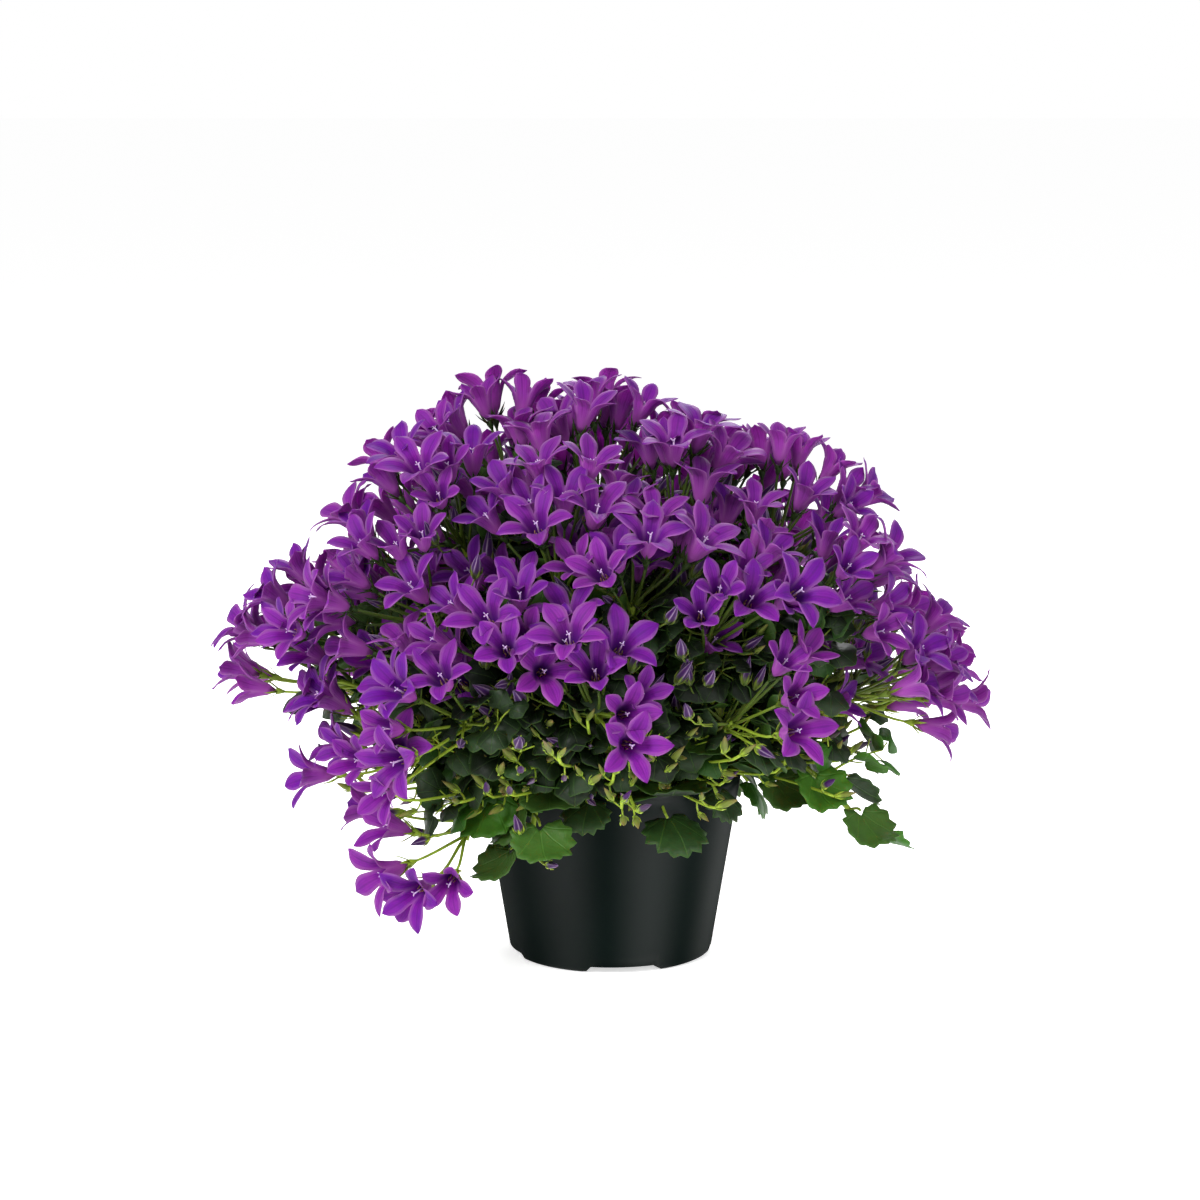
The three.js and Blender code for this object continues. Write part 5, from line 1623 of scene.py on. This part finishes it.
def soil_piece(colours):
    """A filling of peat: its top is a shallow dome with lumps from sums of sines, its wall tapers
    to a flat foot."""
    slope = (RIM_RADIUS - HEEL_RADIUS) / (POT_HEIGHT - HEEL_HEIGHT)
    edge = HEEL_RADIUS + slope * (SOIL_EDGE_HEIGHT - HEEL_HEIGHT) - WALL - SOIL_CLEARANCE
    share = np.linspace(0, 1, SOIL_RINGS)[:, None]
    turn = np.arange(SOIL_SIDES) / SOIL_SIDES * FULL_TURN
    x, y = share * edge * np.cos(turn), share * edge * np.sin(turn)
    lumps = (np.sin(0.9 * x + 1.3) * np.sin(1.1 * y) + 0.7 * np.sin(1.7 * x - 0.8 * y) * np.sin(1.5 * y + 2)
             + 0.6 * np.sin(0.31 * x + 0.4 * y))
    z = SOIL_EDGE_HEIGHT + SOIL_MOUND * (1 - share**3) + LUMP_HEIGHT * lumps - SOIL_DIP * share**6
    top = np.stack([x, y, z], -1).reshape(1, -1, 3)
    wide = edge * SOIL_TAPER
    side = np.stack([wide * np.cos(turn), wide * np.sin(turn), np.full(SOIL_SIDES, SOIL_FLOOR)], -1)
    corners = np.concatenate([top, side[None], SOIL_FLOOR * UP[None, None]], 1)
    count = SOIL_RINGS * SOIL_SIDES
    ring = np.arange(SOIL_SIDES) + count
    after = np.roll(ring, -1)
    wall = np.stack([ring - SOIL_SIDES, ring, after, after - SOIL_SIDES], -1)
    base = fan_faces(count + SOIL_SIDES, ring, back=True)
    surface = Surface()
    surface.add(corners, [strip_faces(SOIL_RINGS, SOIL_SIDES, True), wall, base])
    piece = surface.piece("peat", finishes(colours, "soil"))
    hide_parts("soil")


# Stage

# The camera and the lamps in millimetres, then the lamps' size and the floor's half width in metres
CAMERA_PLACE = (-5.0, -1500.0, 416.0)
CAMERA_AIM = (-5.0, 0.0, 165.0)
CAMERA_LENS = 98.86
CAMERA_SENSOR = 36
CAMERA_FAR = 20
KEY_PLACE = (-800, -1000, 1000)
FILL_PLACE = (900, -900, 500)
BACK_PLACE = (200, 900, 900)
LAMP_AIM = (0, 0, 130)
LAMP_SIZE = 0.7
FLOOR_REACH = 30.0


def aimed(thing, place, aim):
    """Stands a camera or a lamp at a place and turns it to an aim, both in millimetres."""
    thing.location = Vector(place) * MM
    way = Vector(aim) - Vector(place)
    thing.rotation_euler = way.to_track_quat("-Z", "Y").to_euler()
    bpy.context.scene.collection.objects.link(thing)


def make_camera():
    """A long lens in front of the plant and a little above it, as in the photograph."""
    camera = bpy.data.cameras.new("camera")
    camera.lens = CAMERA_LENS
    camera.sensor_width = CAMERA_SENSOR
    camera.clip_end = CAMERA_FAR
    thing = bpy.data.objects.new("camera", camera)
    aimed(thing, CAMERA_PLACE, CAMERA_AIM)
    bpy.context.scene.camera = thing


def make_lamp(name, place, power):
    """A soft square lamp that shines on the dome."""
    lamp = bpy.data.lights.new(name, "AREA")
    lamp.size = LAMP_SIZE
    lamp.energy = power
    aimed(bpy.data.objects.new(name, lamp), place, LAMP_AIM)


def make_surround(strength):
    """An even white surround that the camera sees at full strength and that lights more softly."""
    world = bpy.data.worlds.new("studio")
    world.use_nodes = True
    tree = world.node_tree
    background = tree.nodes["Background"]
    path = tree.nodes.new("ShaderNodeLightPath")
    blend = tree.nodes.new("ShaderNodeMapRange")
    blend.inputs["To Min"].default_value = strength
    tree.links.new(path.outputs["Is Camera Ray"], blend.inputs["Value"])
    tree.links.new(blend.outputs[0], background.inputs["Strength"])
    background.inputs["Color"].default_value = (1, 1, 1, 1)
    return world


def make_stage(settings):
    """A wide pale floor, soft lamps and an even white surround."""
    scene = bpy.context.scene
    scene.view_settings.view_transform = "Standard"
    scene.world = make_surround(settings.surround)
    mesh = bpy.data.meshes.new("floor")
    places = [(x * FLOOR_REACH, y * FLOOR_REACH, 0) for x, y in ((-1, -1), (1, -1), (1, 1), (-1, 1))]
    mesh.from_pydata(places, [], [(0, 1, 2, 3)])
    mesh.materials.append(stage_finish(1 - settings.surround))
    floor = bpy.data.objects.new("floor", mesh)
    scene.collection.objects.link(floor)
    make_lamp("key_lamp", KEY_PLACE, settings.key_power)
    make_lamp("fill_lamp", FILL_PLACE, settings.fill_power)
    make_lamp("back_lamp", BACK_PLACE, settings.back_power)
    make_camera()


# Settings, operators and panel

def colour_property(name, description, code):
    """A colour setting with a default given as six hexadecimal digits."""
    return bpy.props.FloatVectorProperty(
        name=name, description=description, subtype="COLOR", size=4, min=0, max=1, default=colour(code))


class BELLFLOWER_PG_colours(bpy.types.PropertyGroup):
    petal_deep: colour_property("Deep petal", "Petals of the darkest blooms", "4E0274")
    petal_light: colour_property("Light petal", "Petals of the palest blooms", "6A1B79")
    petal_edge: colour_property("Petal edge", "Edge of a lobe", "A87A9E")
    petal_rib: colour_property("Petal rib", "Midrib and veins of a lobe", "34084A")
    throat: colour_property("Throat", "Inside of the tube", "420C6A")
    # Tube is paler than the petals: painted light shining through the outside of the tube and lobes
    tube: colour_property("Tube", "Outside of the tube", "8A3E90")
    stigma: colour_property("Stigma", "Tip of the pistil", "BFA0CC")
    stamen: colour_property("Stamen", "Stamens", "7A5A3C")
    # Fresh leaf is also the painted light on leaves at the rim, Dark leaf the painted shade on leaves deep
    # inside, and their mottle
    leaf_fresh: colour_property("Fresh leaf", "Young and low leaves", "2E6410")
    leaf_shade_and_mottle: colour_property("Dark leaf", "Old leaves inside", "071404")
    leaf_grey: colour_property("Grey leaf", "Shaded leaves", "22331C")
    leaf_vein: colour_property("Leaf vein", "Veins of a leaf", "507A28")
    stem_fresh: colour_property("Fresh stem", "Pedicels and calyces", "96B034")
    # Dark stem is painted shade on stems near the soil and on stalks up in the dome, and their mottle
    stem_shade_and_mottle: colour_property("Dark stem", "Stems near the soil", "22340F")
    bud_green: colour_property("Green bud", "Buds that are still green", "66722A")
    bud_pleat: colour_property("Bud pleat", "Pale pleats of a ripe bud", "A893AE")
    pot: colour_property("Pot", "Plastic of the pot", "060D0B")
    pot_worn: colour_property("Worn pot", "Duller patches of the plastic", "0A1412")
    peat: colour_property("Peat", "Crumbs of the soil", "2E2018")
    peat_dark: colour_property("Dark peat", "Hollows of the soil", "140D09")


class BELLFLOWER_PG_stage(bpy.types.PropertyGroup):
    surround: bpy.props.FloatProperty(
        name="Surround", description="Strength of the even white light", default=0.4, min=0, max=1)
    key_power: bpy.props.FloatProperty(
        name="Key lamp", description="Power of the lamp at the upper left", default=29, min=0, unit="POWER")
    fill_power: bpy.props.FloatProperty(
        name="Fill lamp", description="Power of the lamp at the right", default=7, min=0, unit="POWER")
    back_power: bpy.props.FloatProperty(
        name="Back lamp", description="Power of the lamp behind", default=16, min=0, unit="POWER")


class BELLFLOWER_OT_stage(bpy.types.Operator):
    """Make the floor, the lamps, the surround and the camera"""
    bl_idname = "bellflower.stage"
    bl_label = "Stage"

    def execute(self, context):
        make_stage(context.scene.bellflower_stage)
        return {"FINISHED"}


class BELLFLOWER_OT_pot(bpy.types.Operator):
    """Make the pot"""
    bl_idname = "bellflower.pot"
    bl_label = "Pot"

    def execute(self, context):
        pot_piece(context.scene.bellflower_colours)
        return {"FINISHED"}


class BELLFLOWER_OT_soil(bpy.types.Operator):
    """Make the soil"""
    bl_idname = "bellflower.soil"
    bl_label = "Soil"

    def execute(self, context):
        soil_piece(context.scene.bellflower_colours)
        return {"FINISHED"}


class BELLFLOWER_OT_stems(bpy.types.Operator):
    """Make the stems, pedicels and leaf stalks"""
    bl_idname = "bellflower.stems"
    bl_label = "Stems"

    def execute(self, context):
        stem_piece(context.scene.bellflower_colours)
        return {"FINISHED"}


class BELLFLOWER_OT_leaves(bpy.types.Operator):
    """Make the large leaves, the leaves over the rim and the leafy shoots"""
    bl_idname = "bellflower.leaves"
    bl_label = "Leaves"

    def execute(self, context):
        leaf_pieces(context.scene.bellflower_colours)
        rim_leaf_piece(context.scene.bellflower_colours)
        leafy_shoot_pieces(context.scene.bellflower_colours)
        return {"FINISHED"}


class BELLFLOWER_OT_buds(bpy.types.Operator):
    """Make the closed buds"""
    bl_idname = "bellflower.buds"
    bl_label = "Buds"

    def execute(self, context):
        bud_piece(context.scene.bellflower_colours)
        return {"FINISHED"}


class BELLFLOWER_OT_blooms(bpy.types.Operator):
    """Make the bells, their calyces, pistils and stamens"""
    bl_idname = "bellflower.blooms"
    bl_label = "Blooms"

    def execute(self, context):
        bell_pieces(context.scene.bellflower_colours)
        calyx_piece(context.scene.bellflower_colours)
        pistil_piece(context.scene.bellflower_colours)
        return {"FINISHED"}


class BELLFLOWER_PT_panel(bpy.types.Panel):
    """Lists the operators and their settings"""
    bl_idname = "BELLFLOWER_PT_panel"
    bl_label = "Bellflower"
    bl_space_type = "VIEW_3D"
    bl_region_type = "UI"
    bl_category = "Bellflower"

    def draw(self, context):
        for operator in OPERATORS:
            self.layout.operator(operator.bl_idname)
        for group in (context.scene.bellflower_colours, context.scene.bellflower_stage):
            for name in group.__annotations__:
                self.layout.prop(group, name)


OPERATORS = (
    BELLFLOWER_OT_stage, BELLFLOWER_OT_pot, BELLFLOWER_OT_soil, BELLFLOWER_OT_stems,
    BELLFLOWER_OT_leaves, BELLFLOWER_OT_buds, BELLFLOWER_OT_blooms,
)
CLASSES = (BELLFLOWER_PG_colours, BELLFLOWER_PG_stage, *OPERATORS, BELLFLOWER_PT_panel)


def register():
    for kind in CLASSES:
        bpy.utils.register_class(kind)
    bpy.types.Scene.bellflower_colours = bpy.props.PointerProperty(type=BELLFLOWER_PG_colours)
    bpy.types.Scene.bellflower_stage = bpy.props.PointerProperty(type=BELLFLOWER_PG_stage)


def unregister():
    del bpy.types.Scene.bellflower_stage
    del bpy.types.Scene.bellflower_colours
    for kind in reversed(CLASSES):
        bpy.utils.unregister_class(kind)


def main():
    """Registers the classes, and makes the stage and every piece."""
    register()
    bpy.ops.bellflower.stage()
    bpy.ops.bellflower.pot()
    bpy.ops.bellflower.soil()
    bpy.ops.bellflower.stems()
    bpy.ops.bellflower.leaves()
    bpy.ops.bellflower.buds()
    bpy.ops.bellflower.blooms()
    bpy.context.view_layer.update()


if __name__ == "__main__":
    main()
